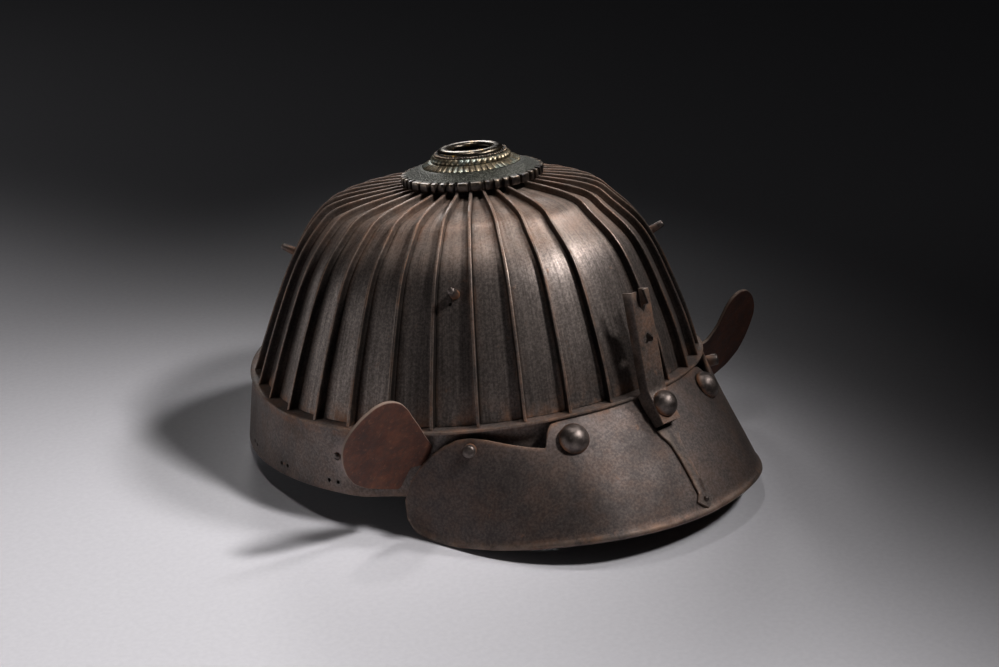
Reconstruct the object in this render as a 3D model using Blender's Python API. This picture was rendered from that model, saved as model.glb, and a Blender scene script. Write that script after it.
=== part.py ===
# Ridged iron helmet bowl with waist band, visor, crown fitting and crest holder.
# It leans back as it lies on a floor: the back of its waist band and the visor's edge touch z = 0.
# The helmet's own frame has its origin at the centre of the bowl's rim, -Y to the front and the
# wearer's right along -X. Sizes below are in millimetres; the meshes are made in metres.
# Angles round the helmet are in degrees from the front, positive towards -X.

from math import atan2, ceil, cos, degrees, pi, radians, sin, tan

import bmesh
import bpy
import numpy as np
from mathutils import Matrix, Vector

MM = 0.001
GAP = 0.3                       # clear gap between neighbouring pieces
SEAT_GAP = 0.6                  # and under a flat piece on the visor's curved face
CUT_REACH = 6.0                 # how far a cutter reaches to each side of the sheet it cuts
DOME_SKIRT = 0.12               # share of a domed head's height that stands straight

# Bowl, measured over the tops of the ridges
BOWL_HALF_WIDTH = 100.0
BOWL_FRONT = 107.8
BOWL_BACK = 108.0
BOWL_HEIGHT = 83.0
CROWN_RADIUS = 28.6
CROWN_FORWARD = 9.35            # the crown's centre lies this far in front of the rim's
CROWN_LEAN = 1.94               # degrees that the crown leans back
RIM_WAVE = 2.5                  # the rim is this much higher at front and back, and lower at the sides

PLATE_COUNT = 32
FRONT_PLATE_WIDTH = 34.7        # the other plates share the rest of the rim
PLATE_THICKNESS = 1.8
RIDGE_HEIGHT = 4.2
RIDGE_HEIGHT_AT_CROWN = 2.8
RIDGE_THICKNESS = 1.3
PLATE_STATIONS = 9
PLATE_CROWDING = 1.45           # above 1 the stations crowd toward the crown
PLATE_FOOT_SHARE = 0.12         # up to this share of the height a plate's thickness turns level

# Meridian of the bowl: share of the height, share of the way out from crown to rim, how much
# fuller the front is than the back, and how much the back corners differ from the rest
MERIDIAN = [
    # height  reach   front   corner
    (0.00,    1.000,   0.000, -0.040),
    (0.203,   0.917,   0.023, -0.022),
    (0.406,   0.822,   0.032, -0.006),
    (0.609,   0.717,   0.033,  0.005),
    (0.761,   0.607,   0.014,  0.012),
    (0.883,   0.468,  -0.011,  0.030),
    (0.962,   0.258,   0.003,  0.030),
    (1.00,    0.000,   0.000,  0.000),
]
CORNER_FROM = 75.0              # the corner column comes in between these angles
CORNER_FULL = 125.0

# Waist band
BAND_HEIGHT = 32.0
BAND_FRONT_HEIGHT = 20.0        # behind the visor
BAND_STEP_FROM = 40.0           # the lower edge steps down between these angles
BAND_STEP_FULL = 58.0
BAND_THICKNESS = 1.8
BAND_LIP_REACH = 2.0            # how far the lip stands out past the ridges
BAND_LIP_REACH_FRONT = 1.2      # and over the middle of the visor
BAND_LIP_FROM = 20.0            # the lip widens between these angles
BAND_LIP_FULL = 60.0
BAND_LIP_THICKNESS = 1.3
BAND_LIP_ROOT = 0.6             # the lip's underside slopes down this much to the wall
BAND_SHELF = 7.0                # how far the lip runs in under the bowl plates
BAND_WALL_BACK = 1.0            # wall's outer face outside the ridges, at the back and sides
BAND_WALL_FRONT = -3.0          # and under the visor
BAND_FOOT_OUT = 2.4             # the wall's foot outside the rim's ellipse, at the back and sides
BAND_WALL_FROM = 63.0           # the wall moves out from behind the visor between these angles
BAND_WALL_FULL = 74.0
BAND_STEPS = 54
LACING_HOLE_RADIUS = 0.9
LACING_HOLE_SPACING = 5.0
LACING_HOLE_RISE = 5.0          # hole centre above the band's lower edge
LACING_ANGLES = [80.0, 97.5, 115.5]

# Visor: angle, slope out from vertical, depth of the lower edge, and of the top edge, below the rim
VISOR_THICKNESS = 1.7
VISOR_OUT = 0.5                 # outer face outside the ridges at the rim
VISOR_BULGE = 2.3               # middle of the front stands out this far from a straight line
VISOR_LIP = 0.6                 # the lower edge is this much thicker
VISOR_LIP_HEIGHT = 1.8
VISOR = [
    # angle  slope   lower   upper
    (0.0,    37.5,   44.2,    0.0),
    (7.0,    38.0,   43.7,    0.0),
    (14.0,   37.8,   43.3,    0.0),
    (20.0,   36.5,   43.3,    0.0),
    (24.5,   33.6,   44.0,    0.0),
    (27.0,   31.6,   44.5,    0.6),
    (28.2,   30.6,   44.8,    3.2),
    (28.9,   30.0,   44.9,    8.6),
    (33.0,   26.0,   46.0,    7.2),
    (37.5,   21.4,   47.1,    5.2),
    (42.0,   16.6,   48.1,    2.9),
    (45.5,   12.9,   48.6,    1.9),
    (48.5,    9.8,   49.0,    2.3),
    (51.5,    6.8,   49.1,    4.6),
    (54.5,    4.0,   48.8,    8.4),
    (57.5,    1.4,   47.8,   13.8),
    (60.0,   -0.5,   45.6,   20.6),
    (62.0,   -2.0,   41.2,   29.5),
]
VISOR_ROWS = 5
VISOR_COLUMN_STEP = 4.0         # degrees, at most

# Domed rivets and side pegs on the visor
RIVET_ANGLE = 22.6
RIVET_DEPTH = 7.0               # below the rim
RIVET_DIAMETER = 13.0
RIVET_HEIGHT = 5.0
PEG_ANGLE = 45.5
PEG_DEPTH = 8.0
PEG_LEFT_ANGLE = 50.0           # the left peg sits further back and lower than the right one
PEG_LEFT_DEPTH = 13.0
PEG_DIAMETER = 5.4
PEG_LENGTH = 6.5
PEG_ROUNDING = 1.0              # height over which the end rounds off
PEG_STEPS = 14
RIVET_STEPS = 18
SMALL_RIVET_STEPS = 10

# Pins on the bowl
PINS = {"front": (49.1, 0.624), "back": (135.0, 0.654)}    # angle and share of the bowl's height
PIN_DIAMETER = 4.2
PIN_TIP_DIAMETER = 3.0
PIN_LENGTH = 9.2
PIN_ROUNDING = 0.8              # height over which the tip rounds off
PIN_STEPS = 10
PIN_HOLE_RADIUS = 0.8
PIN_HOLE_DROP = 4.0             # hole below each pin, along the plate
PIN_HOLE_BACK = 2.2             # and towards the back

# Crest holder: front line of its web, as reach in front of the rim and height above it
HOLDER_WIDTH = 11.0
HOLDER_THICKNESS = 1.3
HOLDER_FOLD = 0.7               # bevel along the folds
HOLDER_SEAT_GAP = 0.45          # between its foot and the visor
HOLDER_DEPTH = 5.4
HOLDER_FOOT_DEPTH = 7.4         # at most, where the foot stands on the visor
HOLDER_TOP = (0.2, 47.0)
HOLDER_BEND = (7.4, 5.4)
HOLDER_FOOT = (15.2, -7.2)
HOLDER_BEND_RADIUS = 7.0
HOLDER_BEND_STEPS = 3
HOLDER_RIVET_PLACE = 0.47       # share of the way from the bend to the foot's end
TOP_CUT_DEPTH = 9.0
TOP_CUT_MOUTH = 4.2
TOP_CUT_WIDTH = 7.4
TOP_CUT_WIDEST = 6.2            # below the top edge
TOP_CUT_NECK = 0.45             # share of the width that its lower point takes up
TOP_CUT_LOBE_SAG = 0.4
HEART_WIDTH = 5.6
HEART_HEIGHT = 4.4
HEART_DROP = 18.0               # its point below the top edge
HOLDER_RIVET_DIAMETER = 11.4

# Tail plate along the visor's middle: distance below the rim's level, half width
TAIL_THICKNESS = 1.0
TAIL = [
    # depth  half width
    (11.6,   5.6),
    (14.0,   4.7),
    (16.5,   3.2),
    (19.5,   2.6),
    (25.0,   2.3),
    (31.0,   2.1),
    (36.2,   1.9),
    (37.6,   3.0),
    (38.8,   4.0),
    (40.6,   2.2),
    (42.1,   0.5),
]
TAIL_RIVET_DEPTH = 38.9
TAIL_RIVET_DIAMETER = 2.6
TAIL_RIVET_HEIGHT = 1.0

# Crown fitting, heights above the ridges at the crown
BASE_RADIUS = 31.8
BASE_HEIGHT = 3.8
BASE_NOTCH_DEPTH = 1.6
DISH_RISE = 2.8
DISH_TOP_RADIUS = 22.8
BASE_GROUPS = 8
BASE_BLOCKS = [(-9.6, -0.9), (0.9, 9.6), (12.6, 16.4), (20.6, 24.4), (28.6, 32.4)]
BASE_BLOCKS_WIDE = 5.0          # a block wider than this, in degrees, has a flat outer face
BLOCK_SLOPE = 0.3               # degrees over which a block's side slopes
BASE_BORE_RADIUS = 11.8         # also the petal ring's
ROPE_BORE_RADIUS = 15.7
PETAL_COUNT = 48
PETAL_RADIUS = 22.4
PETAL_TOP_RADIUS = 19.2
PETAL_HEIGHT = 1.8
PETAL_RELIEF = 0.6
ROPE_COUNT = 40
ROPE_RADIUS = 18.6
ROPE_HEIGHT = 2.2
ROPE_RELIEF = 0.6
ROPE_TAPER = 1.2
COLLAR_RADIUS = 16.0            # its rim over the rope ring; its seat for the torus lies inside
COLLAR_HOLE_RADIUS = 9.8
COLLAR_LIP = 0.7                # height of its rim above the rope ring
COLLAR_SEAT = 1.0               # depth of the torus's seat below the rope ring's top
TORUS_HALF_WIDTH = 2.8
TORUS_HALF_HEIGHT = 1.7
TORUS_CENTRE_RADIUS = 11.9
TORUS_STEPS = 28

# Ear plates: root line on the band, direction, and outline as reach out and height
EAR_THICKNESS = 1.6
EAR_ROOT_ANGLE_TOP = 55.2
EAR_ROOT_ANGLE_FOOT = 62.3
EAR_ROOT_DROP = 1.1             # the root's top below the rim
EAR_ROOT_HEIGHT = 24.7
EAR_OFF_BAND = 4.0              # root line outside the ridges
EAR_SWING = -5.0                # degrees that the plate is turned back
EAR_ROOT_FOOT = 13.0            # the root tab that meets the band, heights of its inner edge
EAR_ROOT_HEAD = 22.5
EAR_ROOT_SLANT = 1.0            # the tab's lower edge drops by this much on the way out
EAR_OUTLINE = [
    # reach  height
    (0.0,    0.6),
    (0.0,   28.1),
    (6.2,   33.6),
    (12.5,  38.5),
    (17.0,  42.4),
    (22.0,  45.3),
    (27.0,  46.7),
    (32.0,  46.2),
    (36.0,  43.8),
    (40.2,  38.2),
    (42.7,  32.6),
    (43.4,  27.2),
    (42.2,  21.8),
    (38.6,  15.5),
    (33.8,   9.8),
    (27.3,   5.0),
    (19.5,   2.5),
    (10.0,   1.4),
]
# The left leaf hangs lower and stands free of the band sooner
EAR_OUTLINE_LEFT = [
    # reach  height
    (0.0,    0.6),
    (0.0,   21.5),
    (3.0,   17.5),
    (8.0,   17.0),
    (14.3,  22.0),
    (19.0,  31.5),
    (22.3,  35.4),
    (27.3,  36.7),
    (32.5,  34.6),
    (36.5,  30.6),
    (40.2,  24.6),
    (42.5,  18.6),
    (43.4,  12.3),
    (42.2,   5.575),
    (39.6,  -2.2),
    (35.6,  -8.4),
    (28.0, -12.8),
    (18.3, -14.0),
    (9.0,  -10.0),
]
EAR_RIVET_ANGLE = 78.4
EAR_RIVET_DEPTH = 15.4
EAR_RIVET_DIAMETER = 3.6
EAR_RIVET_HEIGHT = 1.2

# name: base colour, roughness, metallic
MATERIALS = {
    "bowl_iron": ((0.085, 0.068, 0.060), 0.42, 0.85),
    "band_iron": ((0.105, 0.088, 0.080), 0.48, 0.80),
    "visor_iron": ((0.110, 0.092, 0.084), 0.50, 0.80),
    "rust_iron": ((0.120, 0.062, 0.042), 0.62, 0.60),
    "holder_iron": ((0.095, 0.072, 0.060), 0.50, 0.75),
    "rivet_iron": ((0.120, 0.105, 0.100), 0.30, 0.90),
    "crown_dark": ((0.055, 0.048, 0.046), 0.35, 0.90),
    "crown_gilt": ((0.260, 0.210, 0.120), 0.40, 0.90),
    "crown_bronze": ((0.100, 0.072, 0.040), 0.25, 0.95),
}


def unit(vector):
    return vector / np.linalg.norm(vector)


def smooth_step(value, low, high):
    share = min(max((value - low) / (high - low), 0.0), 1.0)
    return share * share * (3.0 - 2.0 * share)


def degrees_from_front(angle):
    return abs(degrees(atan2(sin(angle), cos(angle))))


def natural_spline(xs, ys):
    """A smooth curve through the points, straight at both ends."""
    xs = np.array(xs, float)
    ys = np.array(ys, float)
    count = len(xs)
    steps = np.diff(xs)
    matrix = np.eye(count)
    right = np.zeros(count)
    for i in range(1, count - 1):
        matrix[i, i - 1] = steps[i - 1]
        matrix[i, i] = 2.0 * (steps[i - 1] + steps[i])
        matrix[i, i + 1] = steps[i]
        right[i] = 6.0 * ((ys[i + 1] - ys[i]) / steps[i] - (ys[i] - ys[i - 1]) / steps[i - 1])
    bend = np.linalg.solve(matrix, right)

    def value(x):
        i = min(max(int(np.searchsorted(xs, x)) - 1, 0), count - 2)
        step = steps[i]
        a = (xs[i + 1] - x) / step
        b = (x - xs[i]) / step
        curve = (a ** 3 - a) * bend[i] + (b ** 3 - b) * bend[i + 1]
        return a * ys[i] + b * ys[i + 1] + curve * step * step / 6.0

    return value


REACH = natural_spline([row[0] for row in MERIDIAN], [row[1] for row in MERIDIAN])
FULLER = natural_spline([row[0] for row in MERIDIAN], [row[2] for row in MERIDIAN])
CORNER = natural_spline([row[0] for row in MERIDIAN], [row[3] for row in MERIDIAN])


def rim_point(angle, out=0.0):
    """Point over the ridges on the rim's ellipse, moved out along the ellipse's normal."""
    length = BOWL_FRONT if cos(angle) > 0.0 else BOWL_BACK
    point = np.array([-BOWL_HALF_WIDTH * sin(angle), -length * cos(angle), 0.0])
    return point + rim_normal(angle) * out


def rim_normal(angle):
    length = BOWL_FRONT if cos(angle) > 0.0 else BOWL_BACK
    return unit(np.array([-sin(angle) / BOWL_HALF_WIDTH, -cos(angle) / length, 0.0]))


def bowl_point(angle, share):
    """Point on the surface over the ridges; share runs from 0 at the rim to 1 at the crown."""
    corner = smooth_step(degrees_from_front(angle), CORNER_FROM, CORNER_FULL)
    reach = REACH(share) + FULLER(share) * cos(angle) + CORNER(share) * corner
    length = BOWL_FRONT if cos(angle) > 0.0 else BOWL_BACK
    x = -sin(angle) * (BOWL_HALF_WIDTH * reach + CROWN_RADIUS * (1.0 - reach))
    y = -cos(angle) * (length * reach + CROWN_RADIUS * (1.0 - reach)) - CROWN_FORWARD * (1.0 - reach)
    z = share * BOWL_HEIGHT + RIM_WAVE * (1.0 - share) * cos(2.0 * angle)
    return np.array([x, y, z - tan(radians(CROWN_LEAN)) * y * share])


def bowl_frame(angle, share):
    """Point, outward normal, direction round the bowl per radian and direction up the meridian."""
    small = 0.001
    low = max(share - small, 0.0)
    high = min(share + small, 1.0)
    around = (bowl_point(angle + small, share) - bowl_point(angle - small, share)) / (2.0 * small)
    up = unit(bowl_point(angle, high) - bowl_point(angle, low))
    normal = unit(np.cross(up, around))
    return bowl_point(angle, share), normal, around, up


def ridge_angles():
    """Angles of the ridges on one side: the first edges the front plate, the rest share the rim."""
    samples = np.linspace(0.0, pi, 2881)
    points = np.array([bowl_point(angle, 0.0) for angle in samples])
    lengths = np.concatenate([[0.0], np.cumsum(np.linalg.norm(np.diff(points, axis=0), axis=1))])
    first = FRONT_PLATE_WIDTH / 2.0
    width = 2.0 * (lengths[-1] - first) / (PLATE_COUNT - 1)
    marks = [first + width * i for i in range(PLATE_COUNT // 2)]
    return [float(np.interp(mark, lengths, samples)) for mark in marks]


def add_object(name, mesh, material, pose, smooth_angle=None):
    obj = bpy.data.objects.new(name, mesh)
    bpy.context.scene.collection.objects.link(obj)
    mesh.materials.append(material)
    obj.parent = pose
    if smooth_angle is not None:
        mesh.shade_smooth()
        mesh.set_sharp_from_angle(angle=radians(smooth_angle))
    return obj


def solid_mesh(name, points, faces):
    """Closed mesh from points in millimetres, with its faces turned outward."""
    mesh = bpy.data.meshes.new(name)
    mesh.from_pydata([tuple(float(c) * MM for c in point) for point in points], [], faces)
    work = bmesh.new()
    work.from_mesh(mesh)
    bmesh.ops.recalc_face_normals(work, faces=work.faces)
    work.to_mesh(mesh)
    work.free()
    return mesh


def loft_mesh(name, sections, closed=False):
    """Skin a row of equal closed sections, joined end to end when closed, capped when not."""
    count = len(sections[0])
    points = [point for section in sections for point in section]
    faces = []
    spans = len(sections) if closed else len(sections) - 1
    for i in range(spans):
        here = i * count
        there = ((i + 1) % len(sections)) * count
        for j in range(count):
            k = (j + 1) % count
            faces.append((here + j, here + k, there + k, there + j))
    if not closed:
        last = (len(sections) - 1) * count
        faces.append(tuple(range(count)))
        faces.append(tuple(last + j for j in reversed(range(count))))
    return solid_mesh(name, points, faces)


def turned_mesh(name, origin, axis, profile, steps):
    """Turn a profile of (radius, height) round an axis; ends on the axis close to one point."""
    axis = unit(axis)
    side = unit(np.cross(axis, [0.0, 0.0, 1.0] if abs(axis[2]) < 0.9 else [1.0, 0.0, 0.0]))
    other = np.cross(axis, side)
    points = []
    rings = []
    for radius, height in profile:
        centre = origin + axis * height
        if radius == 0.0:
            rings.append([len(points)] * steps)
            points.append(centre)
            continue
        rings.append(list(range(len(points), len(points) + steps)))
        for i in range(steps):
            turn = 2.0 * pi * i / steps
            points.append(centre + radius * (side * cos(turn) + other * sin(turn)))
    faces = []
    for low, high in zip(rings, rings[1:]):
        for i in range(steps):
            k = (i + 1) % steps
            corners = (low[i], low[k], high[k], high[i])
            faces.append(tuple(dict.fromkeys(corners)))
    return solid_mesh(name, points, faces)


def prism_mesh(name, outline, origin, side, up, depth):
    """Cutter or plate: an outline in two directions, pushed both ways along their normal."""
    normal = unit(np.cross(side, up))
    front = [origin + side * a + up * b + normal * depth[0] for a, b in outline]
    back = [origin + side * a + up * b + normal * depth[1] for a, b in outline]
    return loft_mesh(name, [front, back])


def cut(obj, cutter_mesh, pose):
    """Cut a hole through an object and leave the cutter out of the finished part."""
    cutter = bpy.data.objects.new(cutter_mesh.name, cutter_mesh)
    bpy.context.scene.collection.objects.link(cutter)
    cutter.parent = pose
    cutter.hide_render = True
    cutter.display_type = "WIRE"
    modifier = obj.modifiers.new("hole", "BOOLEAN")
    modifier.operation = "DIFFERENCE"
    modifier.solver = "EXACT"
    modifier.object = cutter
    bpy.context.view_layer.update()
    evaluated = obj.evaluated_get(bpy.context.evaluated_depsgraph_get())
    result = bpy.data.meshes.new_from_object(evaluated)
    obj.modifiers.clear()
    obj.data = result
    bpy.data.objects.remove(cutter, do_unlink=True)


def circle(radius, steps, centre=(0.0, 0.0)):
    turns = [2.0 * pi * i / steps for i in range(steps)]
    return [(centre[0] + radius * cos(turn), centre[1] + radius * sin(turn)) for turn in turns]


def ridge_height(share):
    return RIDGE_HEIGHT + (RIDGE_HEIGHT_AT_CROWN - RIDGE_HEIGHT) * share


def plate_section(start, end, share, ridge_at_start, ridge_at_end):
    """Section of one plate: ridges turned up at its edges, then back along its inner face."""
    ridge = ridge_height(share)
    inner = ridge + PLATE_THICKNESS
    sign = 1.0 if end > start else -1.0
    middle = (start + end) / 2.0

    def at(angle, offset, depth):
        point, normal, around, up = bowl_frame(angle, share)
        turned = angle + sign * offset / np.linalg.norm(around)
        point, normal, around, up = bowl_frame(turned, share)
        level_normal = unit(normal * np.array([1.0, 1.0, smooth_step(share, 0.0, PLATE_FOOT_SHARE)]))
        return point - level_normal * depth

    half = GAP / 2.0
    section = []
    if ridge_at_start:
        section.append(at(start, half, 0.0))
        section.append(at(start, half + RIDGE_THICKNESS, 0.0))
        section.append(at(start, half + RIDGE_THICKNESS, ridge))
    else:
        section.append(at(start, half, ridge))
    section.append(at(middle, 0.0, ridge))
    if ridge_at_end:
        section.append(at(end, -half - RIDGE_THICKNESS, ridge))
        section.append(at(end, -half - RIDGE_THICKNESS, 0.0))
        section.append(at(end, -half, 0.0))
    else:
        section.append(at(end, -half, ridge))
    section.append(at(end, -half, inner))
    section.append(at(middle, 0.0, inner))
    section.append(at(start, half, inner))
    return section


def build_plates(materials, pose):
    ridges = ridge_angles()
    plates = {}
    spans = [("plate_front", -ridges[0], ridges[0], False, False)]
    for i in range(len(ridges) - 1):
        spans.append((f"plate_right_{i + 1:02d}", ridges[i], ridges[i + 1], True, False))
        spans.append((f"plate_left_{i + 1:02d}", -ridges[i], -ridges[i + 1], True, False))
    spans.append(("plate_back", ridges[-1], 2.0 * pi - ridges[-1], True, True))
    foot = GAP / BOWL_HEIGHT
    for name, start, end, first, second in spans:
        sections = []
        for i in range(PLATE_STATIONS):
            share = 1.0 - (1.0 - i / (PLATE_STATIONS - 1)) ** PLATE_CROWDING
            share = foot + (1.0 - foot) * share
            sections.append(plate_section(start, end, share, first, second))
        mesh = loft_mesh(name, sections)
        plates[name] = add_object(name, mesh, materials["bowl_iron"], pose, 35.0)
    return plates


def band_lower_edge(angle):
    """Height of the band's lower edge: lower at the sides and back than behind the visor."""
    away = degrees_from_front(angle)
    step = smooth_step(away, BAND_STEP_FROM, BAND_STEP_FULL)
    return -BAND_FRONT_HEIGHT - (BAND_HEIGHT - BAND_FRONT_HEIGHT) * step


def band_wall_point(angle, height, out=0.0):
    """Point on the wall's outer face, which runs straight from under the lip to the foot."""
    behind = smooth_step(degrees_from_front(angle), BAND_WALL_FROM, BAND_WALL_FULL)
    top_out = BAND_WALL_FRONT + (BAND_WALL_BACK - BAND_WALL_FRONT) * behind
    foot_out = BAND_WALL_FRONT + (BAND_FOOT_OUT - BAND_WALL_FRONT) * behind
    top = bowl_point(angle, 0.0) + rim_normal(angle) * top_out
    foot = rim_point(angle, foot_out)
    share = -height / BAND_HEIGHT
    point = top * (1.0 - share) + foot * share
    point[2] = height
    return point + rim_normal(angle) * out


def band_lip_reach(angle):
    away = degrees_from_front(angle)
    share = smooth_step(away, BAND_LIP_FROM, BAND_LIP_FULL)
    return BAND_LIP_REACH_FRONT + (BAND_LIP_REACH - BAND_LIP_REACH_FRONT) * share


def rim_height(angle):
    return RIM_WAVE * cos(2.0 * angle)


def build_band(materials, pose):
    sections = []
    for i in range(BAND_STEPS):
        angle = 2.0 * pi * i / BAND_STEPS
        top = rim_height(angle)
        lip = top - BAND_LIP_THICKNESS
        foot = band_lower_edge(angle)
        reach = band_lip_reach(angle)
        rim = bowl_point(angle, 0.0)
        way = rim_normal(angle)
        down = np.array([0.0, 0.0, BAND_LIP_THICKNESS])
        sections.append([
            rim + way * reach,
            rim + way * reach - down,
            band_wall_point(angle, lip - BAND_LIP_ROOT),
            band_wall_point(angle, foot),
            band_wall_point(angle, foot, -BAND_THICKNESS),
            band_wall_point(angle, lip - BAND_LIP_ROOT, -BAND_THICKNESS),
            rim - way * BAND_SHELF - down,
            rim - way * BAND_SHELF,
        ])
    band = add_object("waist_band", loft_mesh("waist_band", sections, closed=True),
                      materials["band_iron"], pose, 30.0)
    for side in (1.0, -1.0):
        for centre in LACING_ANGLES:
            for shift in (-0.5, 0.5):
                width = np.linalg.norm(rim_point(radians(centre + 1.0)) - rim_point(radians(centre)))
                angle = radians(side * (centre + shift * LACING_HOLE_SPACING / width))
                origin = band_wall_point(angle, band_lower_edge(angle) + LACING_HOLE_RISE)
                side_way = unit(np.cross([0.0, 0.0, 1.0], rim_normal(angle)))
                cutter = prism_mesh("lacing_hole", circle(LACING_HOLE_RADIUS, 6), origin, side_way,
                                    np.array([0.0, 0.0, 1.0]), (-CUT_REACH, CUT_REACH))
                cut(band, cutter, pose)
    return band


def visor_row(angle):
    """Slope, lower depth and upper depth of the visor at an angle, the same on both sides."""
    away = abs(degrees(angle))
    table = [row[0] for row in VISOR]
    return [float(np.interp(away, table, [row[i] for row in VISOR])) for i in (1, 2, 3)]


def visor_top(angle):
    return rim_height(angle) - BAND_LIP_THICKNESS - GAP - visor_row(angle)[2]


def visor_point(angle, height, out=0.0):
    """Point on the visor's outer face, or off it by out along the face's normal."""
    slope, lower, upper = visor_row(angle)
    share = min(max(-height / lower, 0.0), 1.0)
    bulge = VISOR_BULGE * 4.0 * share * (1.0 - share) * cos(angle) ** 2
    reach = VISOR_OUT + tan(radians(slope)) * max(-height, 0.0) + bulge
    rise = np.array([0.0, 0.0, 1.0])
    normal = unit(rim_normal(angle) * cos(radians(slope)) + rise * sin(radians(slope)))
    return rim_point(angle, reach) + rise * height + normal * out


def visor_normal(angle):
    slope = radians(visor_row(angle)[0])
    return rim_normal(angle) * cos(slope) + np.array([0.0, 0.0, 1.0]) * sin(slope)


def build_visor(materials, pose):
    angles = []
    for low, high in zip(VISOR, VISOR[1:]):
        parts = max(1, ceil((high[0] - low[0]) / VISOR_COLUMN_STEP))
        angles += [low[0] + (high[0] - low[0]) * i / parts for i in range(parts)]
    angles.append(VISOR[-1][0])
    columns = [-angle for angle in reversed(angles[1:])] + angles
    sections = []
    for column in columns:
        angle = radians(column)
        slope, lower, upper = visor_row(angle)
        top = visor_top(angle)
        bead = -lower + VISOR_LIP_HEIGHT
        heights = [top + (bead - top) * i / (VISOR_ROWS - 2) for i in range(VISOR_ROWS - 1)]
        outer = [visor_point(angle, height) for height in heights]
        outer.append(visor_point(angle, bead, VISOR_LIP))
        outer.append(visor_point(angle, -lower, VISOR_LIP))
        inner = [visor_point(angle, height, -VISOR_THICKNESS) for height in heights + [-lower]]
        sections.append(outer + inner[::-1])
    mesh = loft_mesh("visor", sections)
    return add_object("visor", mesh, materials["visor_iron"], pose, 30.0)


def dome_profile(diameter, height, rows):
    """Part of a ball: flat underneath, with a low straight skirt."""
    radius = diameter / 2.0
    skirt = DOME_SKIRT * height
    ball = (radius * radius + (height - skirt) ** 2) / (2.0 * (height - skirt))
    sweep = atan2(radius, ball - (height - skirt))
    profile = [(0.0, 0.0), (radius, 0.0)]
    for i in range(rows):
        turn = sweep * (1.0 - i / rows)
        profile.append((ball * sin(turn), skirt + ball * cos(turn) - (ball - (height - skirt))))
    profile.append((0.0, height))
    return profile


def holder_path():
    """Front line of the holder's web in the plane x = 0: straight, a rounded bend, then the foot."""
    top, bend, foot = [np.array([0.0, -BOWL_FRONT - reach, height])
                       for reach, height in (HOLDER_TOP, HOLDER_BEND, HOLDER_FOOT)]
    down = unit(bend - top)
    foot_way = unit(foot - bend)
    half_turn = (pi - np.arccos(float(down @ foot_way))) / 2.0
    back_off = HOLDER_BEND_RADIUS / tan(half_turn)
    start = bend - down * back_off
    end = bend + foot_way * back_off
    path = [top, start]
    for i in range(1, HOLDER_BEND_STEPS):
        share = i / HOLDER_BEND_STEPS
        path.append(start * (1.0 - share) ** 2 + bend * 2.0 * share * (1.0 - share) + end * share * share)
    path += [end, (end + foot) / 2.0, foot]
    return path, down, foot_way


def depth_to_visor(point, back):
    """Depth behind the web at which the holder's flange meets the visor, less the clear gap."""
    low = 0.0
    high = 2.0 * HOLDER_FOOT_DEPTH
    for _ in range(30):
        depth = (low + high) / 2.0
        place = point + back * depth
        surface = visor_point(0.0, min(place[2], 0.0), HOLDER_SEAT_GAP)
        if place[1] < surface[1]:
            low = depth
        else:
            high = depth
    return low


def build_holder(materials, pose):
    path, down, foot_way = holder_path()
    half = HOLDER_WIDTH / 2.0
    wall = HOLDER_THICKNESS
    fold = HOLDER_FOLD
    right = np.array([1.0, 0.0, 0.0])
    sections = []
    for i, point in enumerate(path):
        along = unit(path[min(i + 1, len(path) - 1)] - path[max(i - 1, 0)])
        back = np.cross(right, along)
        back = back if back[1] > 0.0 else -back
        depth = HOLDER_DEPTH
        if point[2] < HOLDER_BEND[1]:
            depth = min(HOLDER_FOOT_DEPTH, depth_to_visor(point, back))
        outline = [
            (-half, depth), (-half, fold), (fold - half, 0.0), (half - fold, 0.0), (half, fold),
            (half, depth), (half - wall, depth), (half - wall, wall), (wall - half, wall),
            (wall - half, depth),
        ]
        sections.append([point + right * a + back * b for a, b in outline])
    holder = add_object("crest_holder", loft_mesh("crest_holder", sections),
                        materials["holder_iron"], pose, 30.0)
    up = -down
    mouth = TOP_CUT_MOUTH / 2.0
    wide = TOP_CUT_WIDTH / 2.0
    neck = wide * TOP_CUT_NECK
    neck_level = -TOP_CUT_WIDEST - TOP_CUT_LOBE_SAG
    top_cut = [
        (-mouth, CUT_REACH), (-mouth, 0.0), (-wide, -TOP_CUT_WIDEST), (-neck, neck_level),
        (0.0, -TOP_CUT_DEPTH), (neck, neck_level), (wide, -TOP_CUT_WIDEST), (mouth, 0.0),
        (mouth, CUT_REACH),
    ]
    web = (-HOLDER_DEPTH / 2.0, HOLDER_DEPTH / 2.0)
    cut(holder, prism_mesh("top_cut", top_cut, path[0], right, up, web), pose)
    cut(holder, prism_mesh("heart_cut", heart_outline(), path[0], right, up, web), pose)
    return holder


def heart_outline():
    """Heart with its point upward: two straight sides and two round lobes below."""
    half = HEART_WIDTH / 2.0
    lobe = half / 2.0
    level = -HEART_DROP - HEART_HEIGHT + lobe
    outline = [(0.0, -HEART_DROP)]
    for side in (1.0, -1.0):
        turns = [radians(20.0 - 50.0 * i) for i in range(5)]
        arc = [(side * (lobe + lobe * cos(turn)), level + lobe * sin(turn)) for turn in turns]
        arc = [(a, b) for a, b in arc if a * side > 0.01]
        if side > 0.0:
            outline += arc + [(0.0, level)]
        else:
            outline += arc[::-1]
    return outline


def build_tail(materials, pose):
    sections = []
    for depth, half in TAIL:
        corners = []
        for side, off in ((-1, GAP), (1, GAP), (1, GAP + TAIL_THICKNESS), (-1, GAP + TAIL_THICKNESS)):
            angle = -side * half / BOWL_FRONT
            corners.append(visor_point(angle, -depth, off))
        sections.append(corners)
    return add_object("tail_plate", loft_mesh("tail_plate", sections), materials["holder_iron"], pose)


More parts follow.
